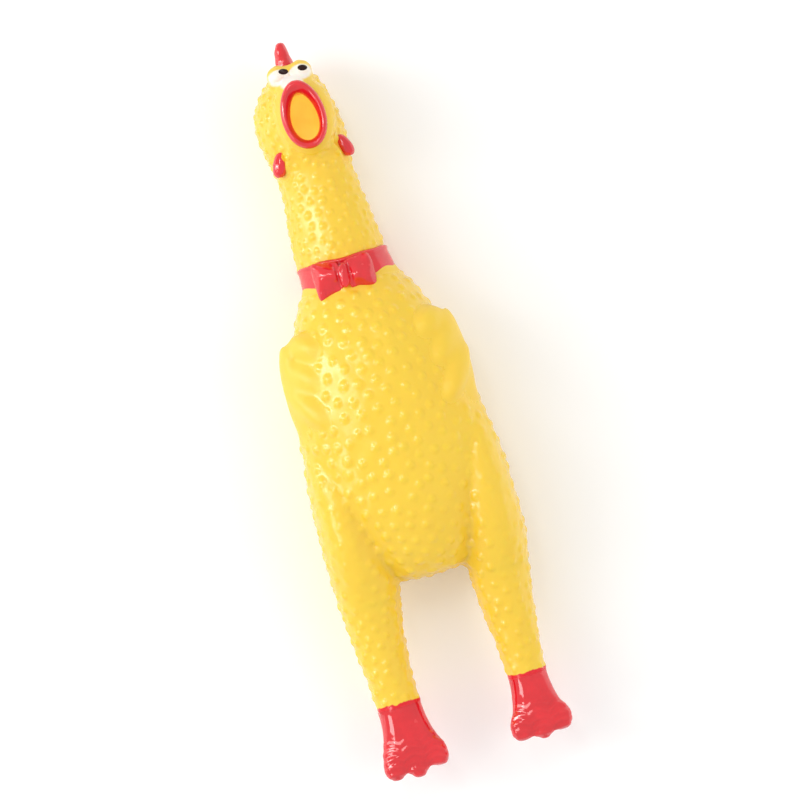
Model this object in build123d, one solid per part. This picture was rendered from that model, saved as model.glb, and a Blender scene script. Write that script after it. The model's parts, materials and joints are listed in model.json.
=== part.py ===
from build123d import *

import math
import os

# A hollow rubber chicken lying on its back: +Z up out of its chest, +Y towards its head, +X to its left.
# The origin is under the middle of the toy, on the surface that its back rests on. Millimetres throughout.

# ---------------------------------------------------------------- lengths along Y, from the toes to the comb
FOOT_LENGTH = 17.0
LEG_LENGTH = 25.5  # from the ankle's paint line up to the crotch
TORSO_LENGTH = 70.5  # from the crotch up to the collar band
BAND_WIDTH = 6.0
NECK_LENGTH = 23.0  # from the collar band up to the jaw
HEAD_LENGTH = 22.5
COMB_HEIGHT = 5.5  # above the top of the head

# ---------------------------------------------------------------- half widths (along X) and half depths (along Z)
SHOULDER_HALF_WIDTH = 15.8
CHEST_HALF_WIDTH = 21.4
HIP_HALF_WIDTH = 22.6
CHEST_HALF_DEPTH = 16.0
SHOULDER_HALF_DEPTH = 13.0
NECK_TOP_RADIUS = 8.9
HEAD_HALF_WIDTH = 10.1
HEAD_HALF_DEPTH = 10.9
THIGH_RADIUS = 8.8
KNEE_RADIUS = 5.9
ANKLE_RADIUS = 4.4
WALL = 1.8  # of the vinyl skin

# ---------------------------------------------------------------- places across the toy
NECK_HEIGHT = 13.0  # of the axis of neck and head above the surface it lies on
LEG_HEIGHT = 13.0
LEG_OFFSET = 15.3  # of each leg's axis from the middle
HEAD_TURN = 2.5  # degrees: the head looks a little to one side

# ---------------------------------------------------------------- flexing places
BEND_GAP = 0.3  # between two pieces of skin that flex past each other
NECK_BEND_ABOVE_COLLAR = 11.0
NECK_BEND_REACH = 3.6  # of the bend's ball past the neck around it
HIP_BEND_BELOW_CROTCH = 5.5
HIP_BEND_REACH = 2.5
BELLY_HALF_WIDTH = 13.0
BELLY_HALF_LENGTH = 20.0
BELLY_TRAVEL = 5.0

# ---------------------------------------------------------------- details of the relief
BAND_THICKNESS = 1.1
BOW_WIDTH = 13.7
BOW_HEIGHT = 8.4
BOW_DROP = 0.8  # of the bow's middle below the band's
BOW_THICKNESS = 3.0
BOW_KNOT_WIDTH = 3.6
MOUTH_WIDTH = 6.2
MOUTH_HEIGHT = 11.0
LIP_WIDTH = 2.5
LIP_STANDOFF = 4.5  # of the lips in front of the face
EYE_RADIUS = 2.7
EYE_SPACING = 5.4
PUPIL_WIDTH = 2.1
PUPIL_HEIGHT = 1.3
PAINT = 0.12  # thickness of a painted pupil
WATTLE_LENGTH = 3.6
WATTLE_WIDTH = 2.4
COMB_THICKNESS = 4.0
WING_LENGTH = 19.0
WING_WIDTH = 7.4
WING_STANDOFF = 1.0
TOE_RADIUS = 2.4
TOE_SPACING = 5.2
TOE_RISE = 2.5  # of the toes' ends towards the chest side

# ---------------------------------------------------------------- squeaker
SQUEAKER_RADIUS = 7.0  # outside of the housing, and the bore of the ring that holds it
SQUEAKER_LENGTH = 18.0
SQUEAKER_WALL = 1.0
SQUEAKER_FLANGE = 0.6
SQUEAKER_FLANGE_LENGTH = 0.8
SEAT_LENGTH = 4.0  # of the ring in the neck base
SEAT_ROOM = 1.0  # between the housing's flanges and the skin around them
CAP_LENGTH = 1.5
CAP_HOLE_RADIUS = 1.0
REED_LENGTH = 9.0  # free length of the tongue
REED_WIDTH = 5.0
REED_THICKNESS = 0.35
REED_GAP = 0.1  # under the tongue at rest
REED_CHANNEL_WIDTH = 3.0
REED_CHANNEL_DEPTH = 3.2
REED_CLAMP_LENGTH = 3.8

# ---------------------------------------------------------------- stations that follow from the sizes above
COLLAR_RADIUS = SQUEAKER_RADIUS + SQUEAKER_FLANGE + SEAT_ROOM + WALL
NECK_BEND_RADIUS = NECK_TOP_RADIUS + NECK_BEND_REACH
HIP_BEND_RADIUS = KNEE_RADIUS + HIP_BEND_REACH
TOTAL_LENGTH = FOOT_LENGTH + LEG_LENGTH + TORSO_LENGTH + BAND_WIDTH + NECK_LENGTH + HEAD_LENGTH + COMB_HEIGHT
TOE_Y = -TOTAL_LENGTH / 2
ANKLE_Y = TOE_Y + FOOT_LENGTH
CROTCH_Y = ANKLE_Y + LEG_LENGTH
COLLAR_Y = CROTCH_Y + TORSO_LENGTH
BAND_TOP_Y = COLLAR_Y + BAND_WIDTH
JAW_Y = BAND_TOP_Y + NECK_LENGTH
CROWN_Y = JAW_Y + HEAD_LENGTH
COMB_Y = CROWN_Y + COMB_HEIGHT
NECK_PIVOT_Y = BAND_TOP_Y + NECK_BEND_ABOVE_COLLAR
HIP_PIVOT_Y = CROTCH_Y - HIP_BEND_BELOW_CROTCH
CHEST_HEIGHT = CHEST_HALF_DEPTH - 0.4  # the back is flattened by this much where it rests
BELLY_Y = CROTCH_Y + TORSO_LENGTH / 2
MOUTH_Y = JAW_Y + 10.5
FACE_Z = NECK_HEIGHT + HEAD_HALF_DEPTH
LIP_Z = FACE_Z + LIP_STANDOFF
EYE_Y = CROWN_Y - 1.9
EYE_Z = NECK_HEIGHT + 7.0
SEAT_Y = COLLAR_Y + BAND_WIDTH / 2  # middle of the squeaker's ring
REED_PIVOT_Y = SEAT_Y + SQUEAKER_LENGTH / 2 - 1.0 - REED_CLAMP_LENGTH

LARGE = 400.0  # longer than the toy, for half spaces


def ring_station(y, x, z, half_width, half_depth):
    """An elliptical section of the skin, across the Y axis."""
    plane = Plane(origin=(x, y, z), x_dir=(1, 0, 0), z_dir=(0, 1, 0))
    return plane * Ellipse(half_width, half_depth)


def tube(stations, inset=0.0):
    """A smooth solid through elliptical stations, each made smaller by an inset."""
    return loft([ring_station(y, x, z, w - inset, d - inset) for y, x, z, w, d in stations])


def ellipsoid(x, y, z, half_x, half_y, half_z):
    return Pos(x, y, z) * scale(Sphere(1), by=(half_x, half_y, half_z))


def rod(x, z, radius, y_from, y_to):
    """A cylinder along Y between two stations."""
    middle = (y_from + y_to) / 2
    return Pos(x, middle, z) * Rot(X=90) * Cylinder(radius, abs(y_to - y_from))


def block(x_from, x_to, y_from, y_to, z_from, z_to):
    middle = ((x_from + x_to) / 2, (y_from + y_to) / 2, (z_from + z_to) / 2)
    return Pos(*middle) * Box(x_to - x_from, y_to - y_from, z_to - z_from)


def turned_head(shape):
    """The head's slight look to one side, about the axis of the neck."""
    return shape.rotate(Axis((0, 0, NECK_HEIGHT), (0, 1, 0)), HEAD_TURN)


# ---------------------------------------------------------------- the skin's outlines
def torso_stations(end_inset=0.0):
    """From the collar down to the crotch, evenly spaced."""
    z = CHEST_HEIGHT
    sections = [
        (NECK_HEIGHT, COLLAR_RADIUS + 1.0, COLLAR_RADIUS + 0.2),
        (z - 0.7, 0.5 * (SHOULDER_HALF_WIDTH + CHEST_HALF_WIDTH), CHEST_HALF_DEPTH - 1.2),
        (z, CHEST_HALF_WIDTH, CHEST_HALF_DEPTH),
        (z, 0.5 * (CHEST_HALF_WIDTH + HIP_HALF_WIDTH), CHEST_HALF_DEPTH),
        (z - 0.3, HIP_HALF_WIDTH, CHEST_HALF_DEPTH - 0.4),
        (z - 1.6, HIP_HALF_WIDTH - 0.6, CHEST_HALF_DEPTH - 2.4),
        (z - 3.3, HIP_HALF_WIDTH - 8.5, CHEST_HALF_DEPTH - 7.6),
    ]
    step = TORSO_LENGTH / (len(sections) - 1)
    stations = [(COLLAR_Y - i * step, 0, *section) for i, section in enumerate(sections)]
    stations[-1] = (CROTCH_Y + end_inset, *stations[-1][1:])
    return stations


def stub_stations():
    """The lower stretch of the neck, from inside the shoulders up past the bend."""
    return [
        (COLLAR_Y - 5.0, 0, NECK_HEIGHT, COLLAR_RADIUS + 0.2, COLLAR_RADIUS + 0.2),
        (BAND_TOP_Y, 0, NECK_HEIGHT, COLLAR_RADIUS, COLLAR_RADIUS),
        (NECK_PIVOT_Y + NECK_BEND_RADIUS, 0, NECK_HEIGHT, NECK_TOP_RADIUS, NECK_TOP_RADIUS),
    ]


def leg_stations(side, top_y, foot_y):
    """A thigh and leg, from inside the hip down to a station near the ankle."""
    x = side * LEG_OFFSET
    hip_y = CROTCH_Y + 0.43 * TORSO_LENGTH
    knee_y = HIP_PIVOT_Y - HIP_BEND_RADIUS
    stations = [
        (hip_y, side * (LEG_OFFSET - 3.0), LEG_HEIGHT + 2.0, THIGH_RADIUS - 0.6, THIGH_RADIUS - 0.6),
        (CROTCH_Y + 9.0, side * (LEG_OFFSET - 0.4), LEG_HEIGHT + 0.6, THIGH_RADIUS, THIGH_RADIUS + 0.9),
        (CROTCH_Y - 1.0, x, LEG_HEIGHT, 0.5 * (THIGH_RADIUS + KNEE_RADIUS), 0.53 * (THIGH_RADIUS + KNEE_RADIUS)),
        (knee_y, x, LEG_HEIGHT, KNEE_RADIUS, KNEE_RADIUS),
        (ANKLE_Y, x, LEG_HEIGHT, ANKLE_RADIUS, ANKLE_RADIUS),
    ]
    return [s for s in stations if foot_y - 0.01 <= s[0] <= top_y + 0.01]


def head_stations(end_inset=0.0):
    """From below the bend in the neck up to the crown."""
    z = NECK_HEIGHT
    y = lambda share: JAW_Y + share * HEAD_LENGTH
    return [
        (NECK_PIVOT_Y, 0, z, NECK_TOP_RADIUS + 0.4, NECK_TOP_RADIUS + 0.4),
        (y(-0.18), 0, z, NECK_TOP_RADIUS, NECK_TOP_RADIUS),
        (y(0.08), 0, z, 0.93 * HEAD_HALF_WIDTH, 0.9 * HEAD_HALF_DEPTH),
        (y(0.38), 0, z, HEAD_HALF_WIDTH, HEAD_HALF_DEPTH),
        (y(0.68), 0, z, 0.83 * HEAD_HALF_WIDTH, 0.88 * HEAD_HALF_DEPTH),
        (y(0.88), 0, z, 0.6 * HEAD_HALF_WIDTH, 0.66 * HEAD_HALF_DEPTH),
        (y(1) - end_inset, 0, z, 0.3 * HEAD_HALF_WIDTH, 0.34 * HEAD_HALF_DEPTH),
    ]


def torso_outline(inset=0.0):
    return tube(torso_stations(inset), inset) + tube(stub_stations(), inset)


def thigh_outline(side, inset=0.0):
    return tube(leg_stations(side, COLLAR_Y, ANKLE_Y), inset)


def head_outline(inset=0.0):
    return tube(head_stations(inset), inset)


def bend_ball(x, y, z, radius):
    return Pos(x, y, z) * Sphere(radius)


def belly_window(clearance=0.0):
    """The part of the front wall that gives way under a thumb, as a prism along Z."""
    outline = Ellipse(BELLY_HALF_WIDTH + clearance, BELLY_HALF_LENGTH + clearance)
    return Pos(0, BELLY_Y, CHEST_HEIGHT) * extrude(outline, amount=2 * CHEST_HALF_DEPTH)


# ---------------------------------------------------------------- torso
def solid_torso():
    outer = torso_outline() + thigh_outline(1) + thigh_outline(-1)
    return outer - block(-LARGE, LARGE, -LARGE, LARGE, -LARGE, 0)


def above_neck_bend():
    """All that belongs to the head's side of the bend in the neck."""
    side = block(-LARGE, LARGE, NECK_PIVOT_Y, LARGE, -LARGE, LARGE)
    return side - bend_ball(0, NECK_PIVOT_Y, NECK_HEIGHT, NECK_BEND_RADIUS - BEND_GAP)


def below_hip_bend(side):
    """All that belongs to one leg's side of the bend at its hip."""
    x = side * LEG_OFFSET
    ball = bend_ball(x, HIP_PIVOT_Y, LEG_HEIGHT, HIP_BEND_RADIUS - BEND_GAP)
    return block(min(0, side * LARGE), max(0, side * LARGE), -LARGE, HIP_PIVOT_Y, -LARGE, LARGE) - ball


def squeaker_seat():
    """The ring inside the collar that grips the squeaker."""
    y_from, y_to = SEAT_Y - SEAT_LENGTH / 2, SEAT_Y + SEAT_LENGTH / 2
    ring = rod(0, NECK_HEIGHT, COLLAR_RADIUS - WALL / 2, y_from, y_to)
    return ring - rod(0, NECK_HEIGHT, SQUEAKER_RADIUS, y_from - 1, y_to + 1)


def whole_torso_skin():
    inner = torso_outline(WALL) + thigh_outline(1, WALL) + thigh_outline(-1, WALL)
    skin = solid_torso() - inner + squeaker_seat()
    return skin - above_neck_bend() - below_hip_bend(1) - below_hip_bend(-1)


def wing(side, body):
    """A folded wing: a long low lump on the flank whose lower end tucks inwards."""
    x, y, z = side * 0.82 * CHEST_HALF_WIDTH, COLLAR_Y - 0.28 * TORSO_LENGTH, CHEST_HEIGHT + 5.5
    upper = ellipsoid(x, y, z, WING_WIDTH / 2 + WING_STANDOFF, WING_LENGTH / 2, WING_WIDTH / 2 + WING_STANDOFF)
    return upper - body


def neck_band(body):
    band = rod(0, NECK_HEIGHT, COLLAR_RADIUS + BAND_THICKNESS, COLLAR_Y, BAND_TOP_Y)
    return band - body


def bow_tie(body, band):
    """Two flared lobes and a knot, lying on the front of the band."""
    half, knot, waist = BOW_WIDTH / 2, BOW_KNOT_WIDTH / 2, 0.5 * BOW_HEIGHT
    low = NECK_HEIGHT + COLLAR_RADIUS - 1.5
    top = NECK_HEIGHT + COLLAR_RADIUS + BAND_THICKNESS + BOW_THICKNESS - 1.0
    lobes = Polyline(
        (0, waist / 2), (half, BOW_HEIGHT / 2), (half, -BOW_HEIGHT / 2), (0, -waist / 2),
        (-half, -BOW_HEIGHT / 2), (-half, BOW_HEIGHT / 2), close=True,
    )
    shape = extrude(make_face(lobes), amount=top - low)
    shape += Pos(0, 0, (top - low) / 2) * Box(2 * knot, 0.8 * BOW_HEIGHT, top - low)
    return Pos(0, SEAT_Y - BOW_DROP, low) * shape - body - band


# ---------------------------------------------------------------- squeaker
def squeaker_housing():
    y_from, y_to = SEAT_Y - SQUEAKER_LENGTH / 2, SEAT_Y + SQUEAKER_LENGTH / 2
    shell = rod(0, NECK_HEIGHT, SQUEAKER_RADIUS, y_from, y_to)
    for end in (-1, 1):
        near = SEAT_Y + end * SEAT_LENGTH / 2
        far = near + end * SQUEAKER_FLANGE_LENGTH
        shell += rod(0, NECK_HEIGHT, SQUEAKER_RADIUS + SQUEAKER_FLANGE, near, far)
    return shell - rod(0, NECK_HEIGHT, SQUEAKER_RADIUS - SQUEAKER_WALL, y_from - 1, y_to + 1)


def squeaker_cap():
    y_from = SEAT_Y - SQUEAKER_LENGTH / 2
    bore = SQUEAKER_RADIUS - SQUEAKER_WALL
    cap = rod(0, NECK_HEIGHT, bore, y_from, y_from + CAP_LENGTH)
    ring = 0.55 * bore
    for turn in range(0, 360, 60):
        x, z = ring * math.cos(math.radians(turn)), ring * math.sin(math.radians(turn))
        cap -= rod(x, NECK_HEIGHT + z, CAP_HOLE_RADIUS, y_from - 1, y_from + CAP_LENGTH + 1)
    return cap


def half_plug(y_from, y_to, z_from, z_to):
    """A slice of the housing's bore between two heights."""
    bore = SQUEAKER_RADIUS - SQUEAKER_WALL
    return rod(0, NECK_HEIGHT, bore, y_from, y_to) & block(-bore, bore, y_from, y_to, z_from, z_to)


def reed_block():
    """The half-round block with the channel that the tongue covers."""
    y_from, y_to = REED_PIVOT_Y - REED_LENGTH - 1.0, REED_PIVOT_Y + REED_CLAMP_LENGTH
    body = half_plug(y_from, y_to, NECK_HEIGHT - SQUEAKER_RADIUS, NECK_HEIGHT)
    half = REED_CHANNEL_WIDTH / 2
    floor = NECK_HEIGHT - REED_CHANNEL_DEPTH
    return body - block(-half, half, REED_PIVOT_Y - REED_LENGTH + 1.0, y_to + 1, floor, NECK_HEIGHT + 1)


def reed_strip(y_from, y_to):
    half, low = REED_WIDTH / 2, NECK_HEIGHT + REED_GAP
    return block(-half, half, y_from, y_to, low, low + REED_THICKNESS)


def reed_tongue():
    return reed_strip(REED_PIVOT_Y - REED_LENGTH, REED_PIVOT_Y - REED_GAP)


def reed_root():
    """The stretch of the reed that is clamped, seated on the block by the thickness of its gap."""
    half = REED_WIDTH / 2
    low, high = NECK_HEIGHT, NECK_HEIGHT + REED_GAP + REED_THICKNESS
    return block(-half, half, REED_PIVOT_Y, REED_PIVOT_Y + REED_CLAMP_LENGTH, low, high)


def reed_clamp():
    low = NECK_HEIGHT + REED_GAP + REED_THICKNESS
    return half_plug(REED_PIVOT_Y, REED_PIVOT_Y + REED_CLAMP_LENGTH, low, NECK_HEIGHT + SQUEAKER_RADIUS)


# ---------------------------------------------------------------- head
def eye_ball(side, radius=EYE_RADIUS):
    return Pos(side * EYE_SPACING / 2, EYE_Y, EYE_Z) * Sphere(radius)


def eye_front(side):
    """The half space in front of the plane that parts the painted white from its brow."""
    plane = Pos(side * EYE_SPACING / 2, EYE_Y, EYE_Z) * Rot(X=20)
    return plane * Pos(0, 0, LARGE / 2) * Box(LARGE, LARGE, LARGE)


def mouth_prism(width, height, z_from, z_to):
    return Pos(0, MOUTH_Y, z_from) * extrude(Ellipse(width / 2, height / 2), amount=z_to - z_from)


def head_skin(outline):
    skin = outline - head_outline(WALL)
    for side in (-1, 1):
        skin += eye_ball(side) - head_outline(WALL / 2) - eye_front(side)
    skin -= mouth_prism(MOUTH_WIDTH, MOUTH_HEIGHT, NECK_HEIGHT, LIP_Z)
    skin -= bend_ball(0, NECK_PIVOT_Y, NECK_HEIGHT, NECK_BEND_RADIUS)
    return skin


def beak_rim(outline, eyes):
    """The lips: an oval tube that stands out of the face around the mouth."""
    outer_width, outer_height = MOUTH_WIDTH + 2 * LIP_WIDTH, MOUTH_HEIGHT + 2 * LIP_WIDTH
    lips = mouth_prism(outer_width, outer_height, NECK_HEIGHT + 2, LIP_Z)
    lips -= mouth_prism(MOUTH_WIDTH, MOUTH_HEIGHT, NECK_HEIGHT, LIP_Z + 1)
    return lips - outline - eyes


def comb(outline):
    """A fin along the middle of the crown with three lobes, the tallest in front."""
    base_y = CROWN_Y - 0.35 * HEAD_LENGTH
    lobe_depth = 3.2
    web = Polyline(
        (base_y, NECK_HEIGHT + 2.5), (CROWN_Y + 0.4 * COMB_HEIGHT, NECK_HEIGHT + 2.5),
        (CROWN_Y - 0.1 * COMB_HEIGHT, NECK_HEIGHT - 8.0), (base_y, NECK_HEIGHT - 8.0), close=True,
    )
    side_plane = Plane(origin=(-COMB_THICKNESS / 4, 0, 0), x_dir=(0, 1, 0), z_dir=(1, 0, 0))
    fin = extrude(side_plane * make_face(web), amount=COMB_THICKNESS / 2)
    for step, top_y in enumerate((COMB_Y, COMB_Y - 0.45 * COMB_HEIGHT, COMB_Y - COMB_HEIGHT)):
        z = NECK_HEIGHT + 0.5 - 1.2 * step * lobe_depth
        fin += loft([
            ring_station(base_y, 0, z, COMB_THICKNESS / 2, lobe_depth),
            ring_station(top_y, 0, z, 0.2 * COMB_THICKNESS, 0.35 * lobe_depth),
        ])
    return fin - outline


def wattle(side, outline):
    x, z = side * 0.8 * HEAD_HALF_WIDTH, NECK_HEIGHT + 0.48 * HEAD_HALF_DEPTH
    drop = ellipsoid(x, JAW_Y + 0.6, z, WATTLE_WIDTH / 2 + 0.3, WATTLE_LENGTH / 2, WATTLE_WIDTH / 2 + 0.6)
    return drop - outline


def eye_white(side, outline):
    return (eye_ball(side) & eye_front(side)) - outline


def pupil(side, outline):
    """A dab of paint, an oval on the front of the eye and above its middle."""
    cap = eye_ball(side, EYE_RADIUS + PAINT) - eye_ball(side)
    oval = Ellipse(PUPIL_WIDTH / 2, PUPIL_HEIGHT / 2)
    look = Pos(side * EYE_SPACING / 2, EYE_Y + 0.3, EYE_Z) * extrude(oval, amount=2 * EYE_RADIUS)
    return (cap & look) - outline


# ---------------------------------------------------------------- legs
def leg_skin(side):
    x = side * LEG_OFFSET
    keep = block(-LARGE, LARGE, ANKLE_Y, HIP_PIVOT_Y, -LARGE, LARGE)
    keep -= bend_ball(x, HIP_PIVOT_Y, LEG_HEIGHT, HIP_BEND_RADIUS)
    return (thigh_outline(side) - thigh_outline(side, WALL)) & keep


def foot(side):
    """A webbed foot with three blunt toes that lean a little towards the chest side."""
    x, z = side * LEG_OFFSET, LEG_HEIGHT
    web_y = TOE_Y + 1.9 * TOE_RADIUS
    spread = TOE_SPACING + 0.6 * TOE_RADIUS
    shape = loft([
        ring_station(ANKLE_Y, x, z, ANKLE_RADIUS, ANKLE_RADIUS),
        ring_station((ANKLE_Y + web_y) / 2, x, z + 0.4 * TOE_RISE, ANKLE_RADIUS + 0.5, ANKLE_RADIUS - 0.8),
        ring_station(web_y, x, z + TOE_RISE, spread, 0.9 * TOE_RADIUS),
    ])
    for step in (-1, 0, 1):
        toe_x = x + step * TOE_SPACING
        tip_y = TOE_Y + TOE_RADIUS
        shape += rod(toe_x, z + TOE_RISE, TOE_RADIUS, web_y + TOE_RADIUS, tip_y)
        shape += Pos(toe_x, tip_y, z + TOE_RISE) * Sphere(TOE_RADIUS)
    return shape


# ---------------------------------------------------------------- assembly
def all_nodes():
    body = solid_torso()
    skin = whole_torso_skin()
    band = neck_band(body)
    face = head_outline()
    eyes = eye_ball(1) + eye_ball(-1)
    nodes = {
        "torso_skin": skin - belly_window(BEND_GAP),
        "belly_panel": skin & belly_window(),
        "neck_band": band,
        "bow_tie": bow_tie(body, band),
        "squeaker_housing": squeaker_housing(),
        "squeaker_cap": squeaker_cap(),
        "reed_block": reed_block(),
        "reed_clamp": reed_clamp(),
        "reed_root": reed_root(),
        "reed_tongue": reed_tongue(),
        "head_skin": turned_head(head_skin(face)),
        "comb": turned_head(comb(face)),
        "beak_rim": turned_head(beak_rim(face, eyes)),
    }
    for name, side in (("left", 1), ("right", -1)):
        nodes[name + "_wing"] = wing(side, body)
        nodes[name + "_wattle"] = turned_head(wattle(side, face))
        nodes[name + "_eye_white"] = turned_head(eye_white(side, face))
        nodes[name + "_pupil"] = turned_head(pupil(side, face))
        nodes[name + "_leg_skin"] = leg_skin(side)
        nodes[name + "_foot"] = foot(side)
    return nodes


os.makedirs("parts", exist_ok=True)
for node_name, solid in all_nodes().items():
    export_step(solid, f"parts/{node_name}.step")
print("neck pivot", (0, NECK_PIVOT_Y, NECK_HEIGHT), "hip pivots", (LEG_OFFSET, HIP_PIVOT_Y, LEG_HEIGHT))
print("reed pivot", (0, REED_PIVOT_Y, NECK_HEIGHT + REED_GAP + REED_THICKNESS / 2), "belly", (0, BELLY_Y, 0))
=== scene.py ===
# %% [markdown]
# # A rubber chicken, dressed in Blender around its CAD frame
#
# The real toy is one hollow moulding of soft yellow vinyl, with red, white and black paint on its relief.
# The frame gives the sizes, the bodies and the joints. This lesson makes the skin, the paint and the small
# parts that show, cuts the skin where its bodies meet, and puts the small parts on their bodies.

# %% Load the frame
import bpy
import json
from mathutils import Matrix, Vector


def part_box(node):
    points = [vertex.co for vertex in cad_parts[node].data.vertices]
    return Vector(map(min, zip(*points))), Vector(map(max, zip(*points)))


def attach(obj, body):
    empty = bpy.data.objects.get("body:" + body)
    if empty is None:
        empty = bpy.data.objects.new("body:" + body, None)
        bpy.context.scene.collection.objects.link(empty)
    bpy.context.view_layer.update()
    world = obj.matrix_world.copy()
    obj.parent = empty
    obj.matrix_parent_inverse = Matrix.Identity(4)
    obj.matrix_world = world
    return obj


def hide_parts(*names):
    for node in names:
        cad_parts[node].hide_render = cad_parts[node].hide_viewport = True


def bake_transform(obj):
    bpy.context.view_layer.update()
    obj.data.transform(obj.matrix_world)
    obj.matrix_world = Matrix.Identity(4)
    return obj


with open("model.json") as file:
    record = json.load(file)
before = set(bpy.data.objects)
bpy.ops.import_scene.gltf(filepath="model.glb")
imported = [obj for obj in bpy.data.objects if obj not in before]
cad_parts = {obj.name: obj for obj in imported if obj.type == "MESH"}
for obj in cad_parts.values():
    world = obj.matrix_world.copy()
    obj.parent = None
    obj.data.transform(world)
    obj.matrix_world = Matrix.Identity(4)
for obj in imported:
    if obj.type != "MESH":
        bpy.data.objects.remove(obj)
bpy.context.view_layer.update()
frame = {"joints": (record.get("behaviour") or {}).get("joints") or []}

# %% [markdown]
# ## Places and sizes
#
# Everything is measured in millimetres from the CAD nodes' boxes and the joints' pivots, so that the skin
# follows the frame when the frame changes. `MM` turns a size into Blender's metres. The toy lies on its back:
# Y runs from the toes up to the comb, X points to the toy's left, and Z points up to its chest.

# %% Places read from the frame
import json
import math

import bpy
import numpy as np
from mathutils import Matrix, Vector, kdtree

MM = 0.001
SIDES = {"left": 1, "right": -1}


def metres(place):
    return [c * MM for c in place]


def box_mm(node):
    low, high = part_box(node)
    return low / MM, high / MM


def middle_mm(node):
    return [0.5 * (low + high) for low, high in zip(*box_mm(node))]


def pivot_mm(joint_name):
    for joint in frame["joints"]:
        if joint["name"] == joint_name:
            return Vector(joint["pos_m"]) / MM


CROTCH_ABOVE_HIP, JAW_BELOW_WATTLE, CROWN_ABOVE_EYE = 5.5, 0.6, 1.9
band_low, band_high = box_mm("neck_band")
COLLAR_Y, BAND_TOP_Y = band_low.y, band_high.y
NECK_PIVOT = pivot_mm("neck_bend")
HIP_PIVOT = pivot_mm("left_hip_bend")
NECK_Z, LEG_Z, LEG_X = NECK_PIVOT.z, HIP_PIVOT.z, HIP_PIVOT.x
CROTCH_Y = HIP_PIVOT.y + CROTCH_ABOVE_HIP
ANKLE_Y = box_mm("left_leg_skin")[0].y
TOE_Y = box_mm("left_foot")[0].y
TORSO = COLLAR_Y - CROTCH_Y
JAW_Y = middle_mm("left_wattle")[1] - JAW_BELOW_WATTLE
CROWN_Y = middle_mm("left_eye_white")[1] + CROWN_ABOVE_EYE
MOUTH = Vector((*middle_mm("beak_rim")[:2], box_mm("beak_rim")[1].z))
print("collar", COLLAR_Y, BAND_TOP_Y, "crotch", CROTCH_Y, "ankle", ANKLE_Y)
print("jaw", JAW_Y, "crown", CROWN_Y)

# %% [markdown]
# ## Helpers for modelling by operators
#
# An operator works on whatever is selected, so every step begins with nothing selected. `smoothstep` is the
# soft step from 0 to 1 that leads one form or finish into another, and `fade` is the same from 1 to 0.

# %% Helpers for selecting and modifiers


def smoothstep(value, low, high):
    t = np.clip((value - low) / (high - low), 0, 1)
    return t * t * (3 - 2 * t)


def fade(value, near, far):
    return 1 - smoothstep(value, near, far)


def nothing_selected():
    if bpy.context.object and bpy.context.object.mode != "OBJECT":
        bpy.ops.object.mode_set(mode="OBJECT")
    bpy.ops.object.select_all(action="DESELECT")


def only(piece):
    nothing_selected()
    piece.select_set(True)
    bpy.context.view_layer.objects.active = piece
    return piece


def apply_modifier(piece, kind, **settings):
    only(piece)
    modifier = piece.modifiers.new(kind.title(), kind)
    for key, value in settings.items():
        setattr(modifier, key, value)
    bpy.ops.object.modifier_apply(modifier=modifier.name)
    return piece


def outward(piece):
    only(piece)
    bpy.ops.object.mode_set(mode="EDIT")
    bpy.ops.mesh.select_all(action="SELECT")
    bpy.ops.mesh.normals_make_consistent(inside=False)
    bpy.ops.object.mode_set(mode="OBJECT")
    return piece


# %% [markdown]
# A soft toy has no flat faces, so it is built from two round starts. A tube is a filled circle that is
# extruded from ring to ring and resized about each ring's own centre, as it would be by hand. A blob is a
# sphere with three half sizes. Sculpting would do as well, but rings can be measured and changed later.

# %% Tubes, blobs and joining


def tube(name, rings, corners=24):
    """A closed tube through rings (y, x, z, half width, half depth), given in millimetres."""
    y, x, z, width, depth = rings[0]
    nothing_selected()
    bpy.ops.mesh.primitive_circle_add(
        vertices=corners, radius=1.0, fill_type="NGON", location=metres((x, y, z)),
        rotation=(math.pi / 2, 0, 0),
    )
    bpy.ops.object.transform_apply(location=True, rotation=True, scale=True)
    piece = bpy.context.object
    piece.name = name
    bpy.ops.object.mode_set(mode="EDIT")
    bpy.ops.transform.resize(value=(width * MM, 1, depth * MM), center_override=metres((x, y, z)))
    for y2, x2, z2, width2, depth2 in rings[1:]:
        step = metres((x2 - x, y2 - y, z2 - z))
        bpy.ops.mesh.extrude_region_move(TRANSFORM_OT_translate={"value": step})
        ratio = (width2 / width, 1, depth2 / depth)
        bpy.ops.transform.resize(value=ratio, center_override=metres((x2, y2, z2)))
        y, x, z, width, depth = y2, x2, z2, width2, depth2
    outward(piece)
    return apply_modifier(piece, "SUBSURF", levels=2, render_levels=2)


def blob(name, centre, halves, turn=(0, 0, 0)):
    """A rounded lump: a sphere with three half sizes, turned about its own centre."""
    nothing_selected()
    bpy.ops.mesh.primitive_uv_sphere_add(segments=32, ring_count=20, radius=1.0, location=metres(centre))
    piece = bpy.context.object
    piece.name = name
    piece.scale = metres(halves)
    piece.rotation_euler = [math.radians(angle) for angle in turn]
    bpy.ops.object.transform_apply(location=True, rotation=True, scale=True)
    return piece


def join(name, pieces):
    nothing_selected()
    for piece in pieces:
        piece.select_set(True)
    bpy.context.view_layer.objects.active = pieces[0]
    bpy.ops.object.join()
    joined = bpy.context.object
    joined.name = name
    return joined


# %% [markdown]
# ## The outlines of the skin
#
# The moulding is a few round forms that flow into each other: an egg of a torso, two tapering legs with
# webbed feet, and a neck that swells into the head. Each is one tube. They overlap on purpose, because a
# later step fuses them. The two sides of the real toy aren't quite alike, so `side` is 1 for its left and -1
# for its right, and a few numbers differ between them.

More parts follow.
